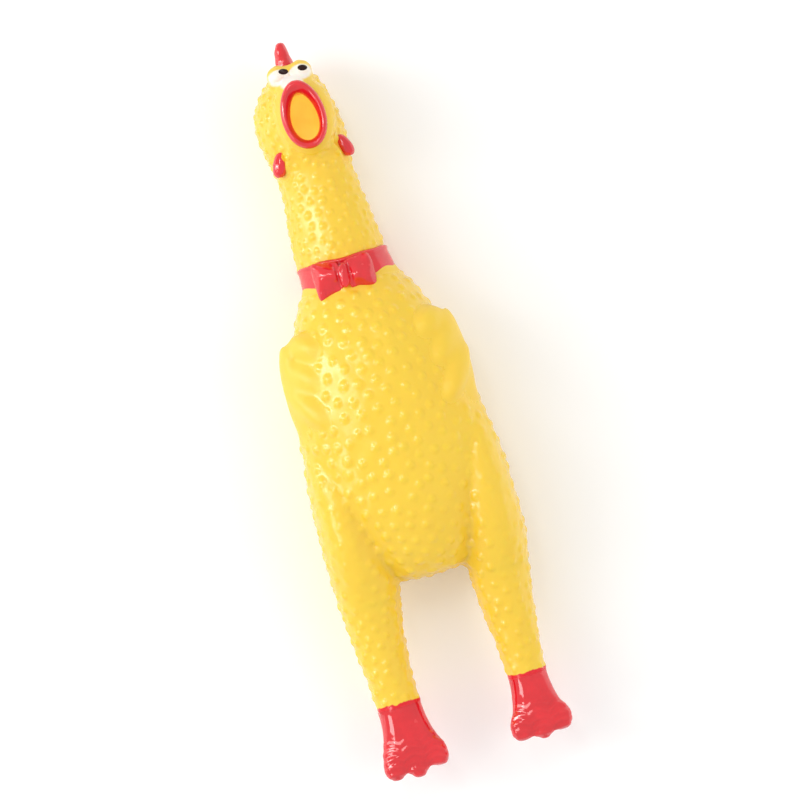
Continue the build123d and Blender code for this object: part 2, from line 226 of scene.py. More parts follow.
# %% Torso, thighs, legs and feet as tubes
TORSO_SHARES = (  # share of the way down, half width, half depth, height of the middle
    (-0.09, 10.2, 10.2, 13.0), (-0.02, 10.9, 10.6, 13.1), (0.03, 13.4, 11.6, 13.6), (0.09, 15.6, 13.0, 14.3),
    (0.18, 17.7, 14.6, 15.0), (0.30, 19.7, 15.5, 15.6), (0.42, 21.4, 15.8, 15.8), (0.55, 22.0, 15.6, 15.7),
    (0.68, 20.1, 15.0, 15.4), (0.80, 15.8, 14.0, 15.0), (0.885, 12.4, 12.3, 14.4), (0.945, 10.2, 9.8, 13.7),
    (0.98, 7.6, 6.4, 13.2),
)
LEG_RINGS = (  # up from the crotch, outwards and up from the leg's middle, half width, half depth
    (40.5, 2.3, 3.5, 2.0, 3.5), (34.5, 2.3, 3.3, 4.2, 7.5), (26.5, 1.7, 3.0, 5.7, 10.2),
    (18.5, 1.2, 2.5, 6.6, 11.2), (10.5, 0.7, 1.8, 7.3, 11.0), (4.5, 0.3, 1.0, 7.5, 9.8),
    (-1.0, 0.0, 0.4, 7.3, 8.0), (-5.5, 0.0, 0.1, 6.6, 7.0), (-10.5, 0.0, 0.0, 6.0, 6.3),
    (-16.5, 0.0, 0.0, 5.3, 5.5), (-22.0, -0.1, 0.0, 4.8, 4.9), (-26.0, -0.2, 0.0, 4.6, 4.6),
    (-29.5, -0.2, 0.4, 4.7, 4.2), (-32.5, -0.3, 1.0, 5.4, 3.6), (-35.5, -0.3, 1.7, 6.5, 3.0),
    (-37.6, -0.3, 2.1, 6.9, 2.5), (-38.7, -0.3, 2.3, 6.3, 1.8),
)
RIGHT_FOOT_WIDER = 0.14


def torso_form():
    return tube("torso_form", [(COLLAR_Y - s * TORSO, 0, z, w, d) for s, w, d, z in TORSO_SHARES])


def leg_middle(below_crotch, side):
    """Both legs lean a little to the toy's right as they go down, and their feet come back a little."""
    lean = 1.1 * float(smoothstep(-below_crotch, -8, 10)) - 0.2 * float(smoothstep(-below_crotch, 20, 36))
    return side * LEG_X - lean


def foot_middle(side):
    return leg_middle(-40, side) - 0.3 * side


def leg_form(side):
    wider = RIGHT_FOOT_WIDER if side < 0 else 0.0
    rings = []
    for y, x, z, w, d in LEG_RINGS:
        w = w * (1 + wider * float(smoothstep(-y, 20, 26)))
        rings.append((CROTCH_Y + y, leg_middle(y, side) + side * x, LEG_Z + z, w, d))
    return tube("leg_form", rings)


def toe_forms(side):
    """Three blunt toes that fan out a little, the middle one lowest."""
    toes = []
    apart, raised = (5.1, (0.0, 0.0, 0.7)) if side < 0 else (4.6, (0.8, 0.7, 0.9))
    for step in (-1, 0, 1):
        fat = 2.75 if step else 2.5
        x = foot_middle(side) + apart * step + 0.2 * (side < 0)
        y = TOE_Y + 0.6 * abs(step) + raised[step + 1]
        toes.append(blob("toe_form", (x, y + 3.9, LEG_Z + 2.2), (fat, 3.7, 2.3), turn=(-6, 0, 10 * step)))
        toes.append(blob("toe_end", (x + 0.1 * step, y + 2.6, LEG_Z + 2.25), (fat - 0.1, 2.45, 2.2)))
    return toes


forms = [torso_form()]
for side in SIDES.values():
    forms += [leg_form(side)] + toe_forms(side)
print("forms so far", len(forms))

# %% [markdown]
# A folded wing is a flap that lies along each flank: three broad feathers that overlap and slant inwards and
# down, with a shallow groove between them. Each is a flattened lump laid on the torso, its thin side along
# the torso's normal, so that only a little of it stands out. A broad fourth lump is the wing's back.

# %% Wings
WING_FEATHERS = (  # degrees round the side, y, half length, half width, half thickness, slant in degrees
    (32, 16.6, 5.2, 3.3, 2.1, 24), (30, 10.4, 5.6, 3.1, 2.0, 36), (29, 4.2, 8.4, 3.2, 2.2, 44),
)
WING_BACKS = {1: (13, 6.5, 5.4, 12.4, 1.95, 0), -1: (12, 6.0, 5.4, 12.8, 2.25, 0)}
WING_DROPS, FEATHERS_THICKER = {1: 1.7, -1: 0.0}, {1: 0.75, -1: 0.35}
LUMP_SUNK = 0.55


def torso_section(y):
    """The torso's half width, half depth and middle height at y, read between its rings."""
    rings = [(COLLAR_Y - s * TORSO, w, d, z) for s, w, d, z in TORSO_SHARES][::-1]
    return [float(np.interp(y, [r[0] for r in rings], [r[k] for r in rings])) for k in (1, 2, 3)]


def lump_on_torso(name, side, degrees, y, halves, slant):
    """A flattened lump whose thin direction is the torso's normal there."""
    width, depth, z = torso_section(y)
    c, s = math.cos(math.radians(degrees)), math.sin(math.radians(degrees))
    normal = Vector((c / width, 0, s / depth)).normalized()
    around = Vector((-normal.z, 0, normal.x))
    slant = math.radians(slant)
    along = around * math.cos(slant) - Vector((0, 1, 0)) * math.sin(slant)
    turned = Matrix((along, normal.cross(along), normal)).transposed()
    lump = blob(name, (0, 0, 0), halves)
    centre = Vector((width * c, y, z + depth * s)) - normal * LUMP_SUNK
    lump.data.transform(Matrix.Translation(centre * MM) @ turned.to_4x4())
    if side < 0:
        lump.data.transform(Matrix.Scale(-1, 4, (1, 0, 0)))
        outward(lump)
    return lump


def wing_forms(side):
    """The wing on the toy's left lies a little lower than the one on its right."""
    lobes = []
    for degrees, y, length, width, thickness, slant in (*WING_FEATHERS, WING_BACKS[side]):
        halves = (length, width, thickness + (FEATHERS_THICKER[side] if slant else 0.0))
        lobes.append(lump_on_torso("wing_form", side, degrees, y - WING_DROPS[side], halves, slant))
    return lobes


for side in SIDES.values():
    forms += wing_forms(side)
print("forms with wings", len(forms))

# %% [markdown]
# The neck and head are one tube too, and a blob below the beak is the muzzle that carries the lips. The head
# is hollow, and the open mouth shows its inside, so a throat and a mouth shaft are cut out of both with
# Boolean modifiers before the fusing. An inner surface made later by Solidify would leave the mouth shut.

# %% Neck and head with the hollow mouth
NECK_RINGS = (  # up from the band's top, sideways, half width, half depth
    (-5.0, -0.3, 10.2, 9.9), (1.0, -0.6, 10.5, 10.1), (6.0, -0.6, 10.2, 9.7), (10.0, -0.6, 9.8, 9.3),
    (14.5, -0.6, 9.2, 8.9), (19.0, -0.7, 8.7, 8.6),
)
HEAD_RINGS = (  # up from the jaw, sideways, half width, half depth
    (0.0, -0.8, 9.1, 9.0), (3.5, -1.0, 9.6, 9.8), (7.0, -1.3, 10.1, 10.4), (10.8, -1.6, 10.0, 10.4),
    (14.5, -1.7, 9.1, 9.6), (18.0, -1.1, 7.4, 7.8), (20.6, -0.4, 5.3, 5.8), (22.0, 0.1, 2.6, 3.2),
)
THROAT_RINGS = (
    (-4.0, 0.0, 3.6, 3.4), (0.0, -0.1, 5.6, 4.8), (5.0, -0.3, 6.9, 5.8), (11.0, -0.4, 7.0, 5.8),
    (15.0, -0.3, 5.6, 4.8), (17.0, -0.2, 3.8, 3.2),
)
MOUTH_HALF_WIDTH, MOUTH_HALF_HEIGHT, MOUTH_DROP = 3.3, 5.6, 0.5


def rings_from(base, rings, z):
    return [(base + y, x, z, w, d) for y, x, w, d in rings]


def head_form():
    rings = rings_from(BAND_TOP_Y, NECK_RINGS, NECK_Z) + rings_from(JAW_Y, HEAD_RINGS, NECK_Z)
    return tube("head_form", rings)


def throat_form():
    return tube("throat_form", rings_from(JAW_Y, THROAT_RINGS, NECK_Z + 2.2))


def mouth_shaft():
    nothing_selected()
    middle = metres((MOUTH.x, MOUTH.y - MOUTH_DROP, NECK_Z + 9))
    bpy.ops.mesh.primitive_cylinder_add(vertices=48, radius=1.0, depth=1.0, location=middle)
    shaft = bpy.context.object
    shaft.scale = metres((MOUTH_HALF_WIDTH, MOUTH_HALF_HEIGHT, 18))
    bpy.ops.object.transform_apply(location=True, rotation=True, scale=True)
    return shaft


def cut(piece, tool):
    apply_modifier(piece, "BOOLEAN", operation="DIFFERENCE", object=tool, solver="EXACT")
    bpy.data.objects.remove(tool)
    return piece


head = head_form()
muzzle = blob("muzzle_form", (MOUTH.x, MOUTH.y - 0.2, MOUTH.z - 7.6), (7.0, 9.5, 6.0))
for piece in (head, muzzle):
    cut(piece, throat_form())
    cut(piece, mouth_shaft())
print("head faces", len(head.data.polygons), "muzzle faces", len(muzzle.data.polygons))

# %% [markdown]
# Two bulging brows sit on top of the head like a frog's, and a small fold runs down beside each corner of
# the mouth. They are blobs and thin tubes that the fusing melts into the head.

# %% Brows and cheek folds


def eye_centre(side_name):
    shift = -0.55 if side_name == "left" else -0.3
    node = side_name + "_eye_white"
    return Vector((middle_mm(node)[0] + shift, CROWN_Y - 1.95, box_mm(node)[0].z + 1.6))


BETWEEN_EYES = 0.5 * (eye_centre("left") + eye_centre("right"))


def brow_forms():
    brows = []
    for name in SIDES:
        c = eye_centre(name)
        brows.append(blob("brow_form", (c.x, c.y, c.z - 0.95), (2.85, 2.8, 2.95)))
        brows.append(blob("brow_root", (c.x * 0.9, c.y - 2.0, c.z - 3.0), (3.1, 3.6, 3.0)))
    c = BETWEEN_EYES
    brows.append(blob("brow_saddle", (c.x, c.y - 0.1, c.z - 1.6), (2.2, 2.35, 2.7)))
    return brows


def cheek_fold(side):
    """A low fold that runs down from a lower corner of the beak towards the wattle."""
    route = ((4.5, 3.6, 0.4), (3.1, 4.5, 0.85), (1.6, 5.5, 0.95), (0.1, 6.4, 0.8), (-0.9, 6.9, 0.4))
    lower = 0.4 * (side > 0)
    rings = [
        (JAW_Y + y, side * x - 0.3, NECK_Z + 10.1 - lower - 0.075 * x * x, w, w + 0.5) for y, x, w in route
    ]
    return tube("cheek_fold", rings, corners=12)


forms += [head, muzzle] + brow_forms() + [cheek_fold(1), cheek_fold(-1)]
print("forms to fuse", len(forms))

# %% [markdown]
# ## Fusing the forms into one skin
#
# A Remesh modifier in voxel mode joins everything that overlaps into one closed surface, as clay would be.
# Boolean unions would keep every crease where two forms meet. Smoothing then softens the joins, the wings a
# little more than the rest, and one level of subdivision gives points fine enough for the bumps.

# %% Fuse, smooth and subdivide
VOXEL = 0.71
WING_LOW_Y, WING_HIGH_Y = -12, COLLAR_Y - 8


def read_points(mesh):
    """The places and normals of a mesh's points, in millimetres."""
    points = np.zeros(len(mesh.vertices) * 3, np.float32)
    normals = np.zeros_like(points)
    mesh.vertices.foreach_get("co", points)
    mesh.vertex_normals.foreach_get("vector", normals)
    return points.reshape(-1, 3).astype(float) / MM, normals.reshape(-1, 3).astype(float)


def write_points(mesh, points):
    mesh.vertices.foreach_set("co", (points * MM).astype(np.float32).ravel())
    mesh.update()


def beside_torso(p, lowest):
    return (np.abs(p[:, 0]) > 8) & (p[:, 1] > WING_LOW_Y) & (p[:, 1] < WING_HIGH_Y) & (p[:, 2] > lowest)


skin = join("skin", forms)
apply_modifier(skin, "REMESH", mode="VOXEL", voxel_size=VOXEL * MM, use_smooth_shade=True)
wing_group = skin.vertex_groups.new(name="wings")
wing_points = np.nonzero(beside_torso(read_points(skin.data)[0], 20))[0]
wing_group.add([int(i) for i in wing_points], 1.0, "REPLACE")
apply_modifier(skin, "SMOOTH", factor=0.5, iterations=7)
apply_modifier(skin, "SMOOTH", factor=0.5, iterations=8, vertex_group="wings")
apply_modifier(skin, "SUBSURF", levels=1, render_levels=1)
print("skin points", len(skin.data.vertices), "faces", len(skin.data.polygons))

# %% [markdown]
# ## The pimples of plucked skin
#
# The whole toy but its wings, feet and face is covered in small flat-topped bumps that stand in loose
# staggered rows. They stand closer on the neck than on the belly, and the hollow in the head has none.

# %% How far apart the bumps stand
points, normals = read_points(skin.data)


def bump_spacing(y):
    """Wider on the torso, finer on neck and head, between the two on the legs."""
    torso_share = smoothstep(y, CROTCH_Y - 8, CROTCH_Y + 6) * fade(y, COLLAR_Y - 3, BAND_TOP_Y)
    head_share = smoothstep(y, COLLAR_Y, BAND_TOP_Y)
    return 2.95 + 0.65 * torso_share - 0.3 * head_share


def is_outside(points):
    """Points of the outer skin, and not of the hollow inside the head."""
    beside = np.hypot(points[:, 0] + 0.8, points[:, 2] - NECK_Z)
    in_head = (points[:, 1] > JAW_Y - 8) & (points[:, 1] < CROWN_Y - 2.6)
    shell_y = (JAW_Y - 8, JAW_Y, JAW_Y + 9, JAW_Y + 16, CROWN_Y)
    shell = np.interp(points[:, 1], shell_y, (7.0, 7.4, 8.8, 7.0, 4.8))
    return ~(in_head & (beside < shell))


outside = is_outside(points)
print("share of the skin that is outside", round(float(outside.mean()), 2))

# %% [markdown]
# The bumps' centres are spread by chance with a fixed seed, then evened out: each centre moves to the middle
# of the points nearest to it, a few times over, which packs them like the cells of a honeycomb. A cell
# texture would be quicker, but a scale that changes along the toy would stretch its cells.

# %% Spread the bumps over the skin
rng = np.random.default_rng(7)


def spread_centres(cell=3.0):
    """Points of the skin in a chance order, each kept if none that was kept before is too near."""
    grid, centres = {}, []
    order = rng.permutation(np.nonzero(outside)[0])
    spacing = bump_spacing(points[:, 1])
    for i in order:
        p, least = points[i], 0.82 * spacing[i]
        key = tuple((p // cell).astype(int))
        near = (q for a in (-1, 0, 1) for b in (-1, 0, 1) for c in (-1, 0, 1)
                for q in grid.get((key[0] + a, key[1] + b, key[2] + c), ()))
        if all((q[0] - p[0]) ** 2 + (q[1] - p[1]) ** 2 + (q[2] - p[2]) ** 2 > least * least for q in near):
            grid.setdefault(key, []).append(tuple(p))
            centres.append(p)
    return np.array(centres)


def search_tree(cloud):
    tree = kdtree.KDTree(len(cloud))
    for i, p in enumerate(cloud):
        tree.insert(p, i)
    tree.balance()
    return tree


def nearest_centre(centres, samples):
    """For each sample, which centre is nearest and how far away it is."""
    tree = search_tree(centres)
    found = [tree.find(p) for p in samples]
    return np.array([f[1] for f in found]), np.array([f[2] for f in found])


def even_out(centres, rounds=5, every=4):
    samples = points[outside][::every]
    weight = 1 / bump_spacing(samples[:, 1]) ** 2
    for _round in range(rounds):
        owner, _distance = nearest_centre(centres, samples)
        total = np.bincount(owner, weight, len(centres))
        for axis in range(3):
            moved = np.bincount(owner, weight * samples[:, axis], len(centres))
            centres[:, axis] = np.where(total > 0, moved / np.maximum(total, 1e-9), centres[:, axis])
    surface = search_tree(samples)
    return np.array([tuple(surface.find(c)[0]) for c in centres])


centres = even_out(spread_centres())
print("bumps", len(centres))

# %% [markdown]
# The wings, the face, the feet and the band's seat stay smooth, a ring round each wattle too, and the fronts
# of the thighs are half smooth. A mask between 0 and 1 says so for each point, with soft edges, because a
# bump that is cut in two would show.

# %% Where the skin is smooth


def wing_cloud():
    lobes = wing_forms(1) + wing_forms(-1)
    cloud = np.concatenate([read_points(lobe.data)[0] for lobe in lobes])
    for lobe in lobes:
        bpy.data.objects.remove(lobe)
    return cloud


def oval(p, x, y, half_width, half_height):
    """1 on the outline of an oval seen from above, less inside it and more outside."""
    return np.hypot((p[:, 0] - x) / half_width, (p[:, 1] - y) / half_height)


def smooth_places(p):
    """1 where the skin stays smooth, 0 where it has its full bumps."""
    x, y, z = p[:, 0], p[:, 1], p[:, 2]
    near_wing = beside_torso(p, 8)
    wing = np.zeros(len(p))
    wing[near_wing] = fade(nearest_centre(wing_cloud(), p[near_wing])[1], 0.5, 1.3)
    mouth = fade(oval(p, MOUTH.x, MOUTH.y, 6.6, 9.3), 0.9, 1.1) * smoothstep(z, NECK_Z + 4, NECK_Z + 6)
    feet = fade(y, ANKLE_Y - 1.5, ANKLE_Y + 0.5)
    seat = smoothstep(y, COLLAR_Y - 0.6, COLLAR_Y + 0.2) * fade(y, BAND_TOP_Y - 0.2, BAND_TOP_Y + 0.6)
    thigh = smoothstep(z, 19, 22) * smoothstep(np.abs(x), 13, 16) * fade(y, -16, -8)
    places = [wing, mouth, feet, seat, 0.55 * thigh]
    for name in SIDES:
        from_eye = np.linalg.norm(p - np.array(eye_centre(name)), axis=1)
        from_wattle = np.linalg.norm(p - np.array(middle_mm(name + "_wattle")), axis=1)
        places += [fade(from_eye, 3.6, 4.8), fade(from_wattle, 2.8, 3.8)]
    return np.clip(np.maximum.reduce(places), 0, 1)


smooth_mask = np.where(outside, smooth_places(points), 1.0)
print("smooth share", round(float(smooth_mask.mean()), 2))

# %% [markdown]
# Every point of the skin is then pushed out along its normal by the shape of the bump that it lies in: a dome
# with a flattened top, each a little larger or smaller than the next. Slow soft lumps under them keep the
# vinyl from looking machined. The same could come from a Displace modifier, but the points are at hand here.

# %% Push the bumps out
BUMP_HEIGHT, BUMP_SHARE, USUAL_RADIUS = 0.35, 0.38, 1.3
LUMP_HEIGHT, LUMP_LENGTH = 0.13, 6.0
owner, reach = nearest_centre(centres, points)
own_size = 1 + rng.uniform(-0.09, 0.09, len(centres))
own_height = 1 + rng.uniform(-0.22, 0.15, len(centres))
radius = BUMP_SHARE * bump_spacing(points[:, 1]) * own_size[owner]
dome = fade(reach / radius, 0.15, 1.05)
higher_on_head = 1 + 0.35 * smoothstep(points[:, 1], COLLAR_Y, JAW_Y)
height = BUMP_HEIGHT * (radius / USUAL_RADIUS) * higher_on_head * own_height[owner] * dome * (1 - smooth_mask)


def lumps(p, wavelength, seed):
    """A soft unevenness between -1 and 1: waves in a dozen chance directions, added up."""
    chance = np.random.default_rng(seed)
    waves = chance.normal(size=(12, 3))
    waves *= 2 * math.pi / wavelength / np.linalg.norm(waves, axis=1)[:, None]
    return np.sin(p @ waves.T + chance.uniform(0, 6.28, 12)).sum(axis=1) / 5


height += np.where(outside, LUMP_HEIGHT, 0.0) * lumps(points, LUMP_LENGTH, 3) * (1 - 0.5 * smooth_mask)
print("highest bump", round(float(height.max()), 2), "mm")

# %% [markdown]
# The feet have scales instead of bumps: low ridges that run across the instep and the toes in shallow curves.
# The whole relief is written to the mesh, and two attributes keep what the material needs later: `bump` for
# the painted shade between the bumps, and `satin` for the smooth places, which are less glossy.

# %% Scales on the feet
SCALE_HEIGHT, SCALE_PITCH = 0.19, 1.75
TOE_PITCH, TOE_HALF = 4.85, 2.43
LOWEST = 0.02
foot_share = fade(points[:, 1], ANKLE_Y - 8.5, ANKLE_Y - 5.5)
foot_x = points[:, 0] - np.where(points[:, 0] > 0, foot_middle(1), foot_middle(-1))
across_toe = np.abs((foot_x + TOE_HALF) % TOE_PITCH - TOE_HALF)
ridge = 0.5 + 0.5 * np.cos(2 * math.pi * (points[:, 1] + 0.16 * across_toe**2) / SCALE_PITCH)
height += SCALE_HEIGHT * foot_share * (ridge**0.7 - 0.6) * smoothstep(normals[:, 2], -0.2, 0.4)
points = points + normals * height[:, None]
points[:, 2] = np.maximum(points[:, 2], LOWEST)
write_points(skin.data, points)


def set_attribute(mesh, name, values):
    attribute = mesh.attributes.new(name, "FLOAT", "POINT")
    attribute.data.foreach_set("value", values.astype(np.float32))


# The bump share also sets where the painted shade between the bumps goes.
set_attribute(skin.data, "bump", dome * (1 - smooth_mask))
set_attribute(skin.data, "satin", smoothstep(smooth_mask, 0.6, 1.0))
only(skin)
bpy.ops.object.shade_smooth()
print("foot points", int((foot_share > 0).sum()))

# %% [markdown]
# ## Paint lines
#
# The maker sprays or dips the red, so its edge is a little ragged, and white is sprayed round the eyes. Each
# point of the skin keeps its distance in millimetres to the nearest paint edge, above zero inside the paint,
# and the material turns that distance into a crisp or a soft edge with some noise in it. Giving each face
# its own colour would leave saw teeth along the edge.

# %% Distance to the paint's edge
UNPAINTED = -9.0
RIGHT_ANKLE_HIGHER = 1.1
ankle_y = ANKLE_Y + np.where(points[:, 0] < 0, RIGHT_ANKLE_HIGHER, 0.0)
ankle_paint = ankle_y + 0.12 * np.sin(points[:, 0] * 1.3 + 1.0) - points[:, 1]
lip_spray = (0.94 - oval(points, MOUTH.x, MOUTH.y, 5.0, 7.5)) * 6.0
lip_spray = np.where((points[:, 2] > NECK_Z + 5) & outside, lip_spray, UNPAINTED)
red_distance = np.maximum(ankle_paint, lip_spray)
white_spray = np.full(len(points), UNPAINTED)
for c, drop, half_width, half_height, deep in (
    (eye_centre("left"), 0.4, 2.5, 1.8, 3.5), (eye_centre("right"), 0.4, 2.5, 1.8, 3.5),
    (BETWEEN_EYES, 2.1, 2.7, 1.7, 5.0),
):
    spot = (1 - oval(points, c.x, c.y - drop, half_width, half_height)) * 2.4
    white_spray = np.where(points[:, 2] > c.z - deep, np.maximum(white_spray, spot), white_spray)
set_attribute(skin.data, "paint", red_distance)
set_attribute(skin.data, "white", white_spray)
set_attribute(skin.data, "inside", np.where(outside, 0.0, 1.0))
print("red points", int((red_distance > 0).sum()), "white points", int((white_spray > 0).sum()))

# %% [markdown]
# ## Cutting the skin at the joints
#
# The frame has a body for the torso, one for the head and one for each leg. The one skin is cut where those
# meet, with the Bisect operator, which also fills the cut. At the hips and ankles the lower piece reaches a
# hair past the cut, and that strip is sunk under its neighbour, so no gap and no flicker shows.

# %% Helpers for cutting
TUCK_REACH, TUCK_DEPTH = 0.3, 0.07


def copy_of(piece, name):
    only(piece)
    bpy.ops.object.duplicate()
    copied = bpy.context.object
    copied.name = name
    return copied


def bisect(piece, place, normal, **settings):
    only(piece)
    bpy.ops.object.mode_set(mode="EDIT")
    bpy.ops.mesh.select_all(action="SELECT")
    bpy.ops.mesh.bisect(plane_co=metres(place), plane_no=normal, **settings)
    bpy.ops.object.mode_set(mode="OBJECT")


def slice_off(piece, place, normal):
    """Takes away what lies on the normal's side of a plane, and closes the cut."""
    bisect(piece, place, normal, clear_outer=True, use_fill=True)


def tuck_under(piece, y):
    """Cuts a piece a little above the line where it joins, and sinks that strip under its neighbour."""
    bisect(piece, (0, y, 0), (0, 1, 0))
    slice_off(piece, (0, y + TUCK_REACH, 0), (0, 1, 0))
    points, normals = read_points(piece.data)
    beyond = points[:, 1] > y + 0.01
    points[beyond] -= normals[beyond] * TUCK_DEPTH
    write_points(piece.data, points)


def match_normals(piece, whole):
    only(piece)
    modifier = piece.modifiers.new("Normals", "DATA_TRANSFER")
    modifier.object = whole
    modifier.use_loop_data = True
    modifier.data_types_loops = {"CUSTOM_NORMAL"}
    modifier.loop_mapping = "POLYINTERP_NEAREST"
    bpy.ops.object.modifier_apply(modifier=modifier.name)


# %% [markdown]
# Each piece is a copy of the whole skin with the rest sliced off. The band hides the cut at the neck. A foot
# is cut from its leg a little below the paint's edge, because the paint there is a finish of its own. The
# normals of the uncut skin are copied back to each piece, so that no line shows where two of them touch.

# %% Cut the skin into torso, head, legs and feet
HIP_CUT_Y = HIP_PIVOT.y + 4.5
NECK_CUT_Y = 0.5 * (COLLAR_Y + BAND_TOP_Y)
NECK_OVERLAP, FOOT_BELOW_PAINT = 0.05, 1.0
torso = copy_of(skin, "torso_vinyl")
slice_off(torso, (0, NECK_CUT_Y + NECK_OVERLAP, 0), (0, 1, 0))
slice_off(torso, (0, HIP_CUT_Y, 0), (0, -1, 0))
head = copy_of(skin, "head_vinyl")
slice_off(head, (0, NECK_CUT_Y, 0), (0, -1, 0))
legs, feet = {}, {}
for name, side in SIDES.items():
    leg = copy_of(skin, name + "_leg_vinyl")
    tuck_under(leg, HIP_CUT_Y)
    slice_off(leg, (0, 0, 0), (-side, 0, 0))
    foot = copy_of(leg, name + "_foot_vinyl")
    foot_cut_y = ANKLE_Y - FOOT_BELOW_PAINT + (RIGHT_ANKLE_HIGHER if side < 0 else 0.0)
    slice_off(leg, (0, foot_cut_y, 0), (0, -1, 0))
    tuck_under(foot, foot_cut_y)
    legs[name], feet[name] = leg, foot
for piece in (torso, head, *legs.values(), *feet.values()):
    match_normals(piece, skin)
    print(piece.name, "triangles", sum(len(f.vertices) - 2 for f in piece.data.polygons))
bpy.data.objects.remove(skin)

# %% [markdown]
# ## Lips
#
# The open beak is an egg-shaped funnel, pointed at the top. A raised bead runs round its rim, and its inside
# slopes down into the mouth. One circle is extruded from ring to ring: up the outside, over the bead, and
# down the inside. The egg is the circle narrowed towards its top. A torus would give the bead but no funnel.

# %% Lips around the mouth
LIP_RINGS = (  # half width, half height, sideways, up or down, height from the rim's top
    (5.0, 7.7, -0.15, -0.2, -8.6), (4.85, 7.6, -0.15, -0.2, -6.0), (4.85, 7.62, -0.15, -0.2, -3.6),
    (5.0, 7.85, -0.15, -0.22, -2.0), (5.06, 7.95, -0.15, -0.25, -1.25), (4.98, 7.9, -0.15, -0.25, -0.8),
    (4.78, 7.7, -0.15, -0.25, -0.42), (4.52, 7.44, -0.15, -0.25, -0.14), (4.25, 7.15, -0.15, -0.25, -0.02),
    (3.98, 6.85, -0.15, -0.25, -0.1), (3.74, 6.5, -0.15, -0.3, -0.4), (3.46, 6.05, -0.12, -0.4, -0.85),
    (3.18, 5.65, -0.1, -0.55, -1.35), (3.0, 5.4, -0.1, -0.65, -2.0), (2.95, 5.3, -0.1, -0.65, -3.4),
    (3.2, 5.4, -0.1, -0.6, -6.0), (4.3, 6.6, -0.1, -0.4, -8.4),
)


def egg(x, y, half_height, pointed):
    return x * (1 - pointed * (y / half_height)), y


def lips_piece():
    """The circle's rings are a unit apart at first, and each then takes its own size and place."""
    nothing_selected()
    bpy.ops.mesh.primitive_circle_add(vertices=72, radius=1.0, fill_type="NOTHING")
    lips = bpy.context.object
    lips.name = "beak_lips"
    bpy.ops.object.mode_set(mode="EDIT")
    for _ring in LIP_RINGS[1:]:
        bpy.ops.mesh.extrude_region_move(TRANSFORM_OT_translate={"value": (0, 0, -1)})
    bpy.ops.object.mode_set(mode="OBJECT")
    for v in lips.data.vertices:
        w, h, dx, dy, dz = LIP_RINGS[int(round(-v.co.z))]
        x, y = egg(v.co.x * w, v.co.y * h, h, 0.08 + 0.1 * float(smoothstep(-v.co.z, 7, 12)))
        v.co = Vector((MOUTH.x + dx + x, MOUTH.y + dy + y, MOUTH.z + dz)) * MM
    return lips


def bridge_ends(piece):
    """Joins the first and the last ring, so that the funnel's wall is closed."""
    only(piece)
    bpy.ops.object.mode_set(mode="EDIT")
    bpy.ops.mesh.select_mode(type="EDGE")
    bpy.ops.mesh.select_all(action="DESELECT")
    bpy.ops.mesh.select_non_manifold()
    bpy.ops.mesh.bridge_edge_loops()
    bpy.ops.mesh.select_mode(type="VERT")
    bpy.ops.object.mode_set(mode="OBJECT")
    return outward(piece)


PAINT_DEPTH = 2.5
lips = bridge_ends(lips_piece())
apply_modifier(lips, "SUBSURF", levels=1, render_levels=1)
bpy.ops.object.shade_smooth()
lip_points, _ = read_points(lips.data)
from_middle = oval(lip_points, MOUTH.x, MOUTH.y - MOUTH_DROP, MOUTH_HALF_WIDTH, MOUTH_HALF_HEIGHT)
inner_wall = lip_points[:, 2] - (MOUTH.z - PAINT_DEPTH)
set_attribute(lips.data, "paint", np.where(from_middle < 1.1, inner_wall, 5.0))
print("lips faces", len(lips.data.polygons))

# %% [markdown]
# ## Comb
#
# The comb is a thin fin along the crown with three lobes, the tallest one in front. Each lobe is a tapering
# tube, and they are fused with a small voxel so that the fin reads as one moulding. It could be a flat shape
# with rounded edges, but real combs are thicker in the middle of each lobe.

# %% Comb
comb_low, comb_high = box_mm("comb")
COMB_X = middle_mm("comb")[0] - 0.5


def fuse(name, pieces, voxel, rounds):
    whole = join(name, pieces)
    apply_modifier(whole, "REMESH", mode="VOXEL", voxel_size=voxel * MM, use_smooth_shade=True)
    apply_modifier(whole, "SMOOTH", factor=0.5, iterations=rounds)
    return whole


def comb_lobe(step):
    top = comb_high.y + 0.5 - 2.3 * step
    z = NECK_Z + 1.4 - 3.7 * step
    rings = (
        (comb_low.y + 3.0, COMB_X, z, 2.35, 3.2), (top - 5.4, COMB_X, z, 2.2, 3.0),
        (top - 3.2, COMB_X, z, 1.85, 2.5), (top - 1.5, COMB_X + 0.1, z + 0.2, 1.5, 1.9),
        (top - 0.5, COMB_X + 0.2, z + 0.3, 1.2, 1.4), (top + 0.1, COMB_X + 0.25, z + 0.4, 0.7, 0.8),
    )
    return tube("comb_lobe", rings, corners=16)


comb_web = blob("comb_web", (COMB_X, CROWN_Y - 1.6, NECK_Z - 2.6), (1.5, 3.4, 5.8), turn=(18, 0, 0))
comb = fuse("comb_fin", [comb_lobe(0), comb_lobe(1), comb_lobe(2), comb_web], 0.26, 4)
comb_points, comb_normals = read_points(comb.data)
write_points(comb.data, comb_points + comb_normals * 0.11 * lumps(comb_points, 2.2, 5)[:, None])
bpy.ops.object.shade_smooth()
print("comb faces", len(comb.data.polygons))

# %% [markdown]
# ## Eyes
#
# Each eye is a painted white front under its yellow brow, and the two whites meet above the beak. A white
# dome and a low saddle between the domes make that shape, fused like the comb.

# %% Whites of the eyes


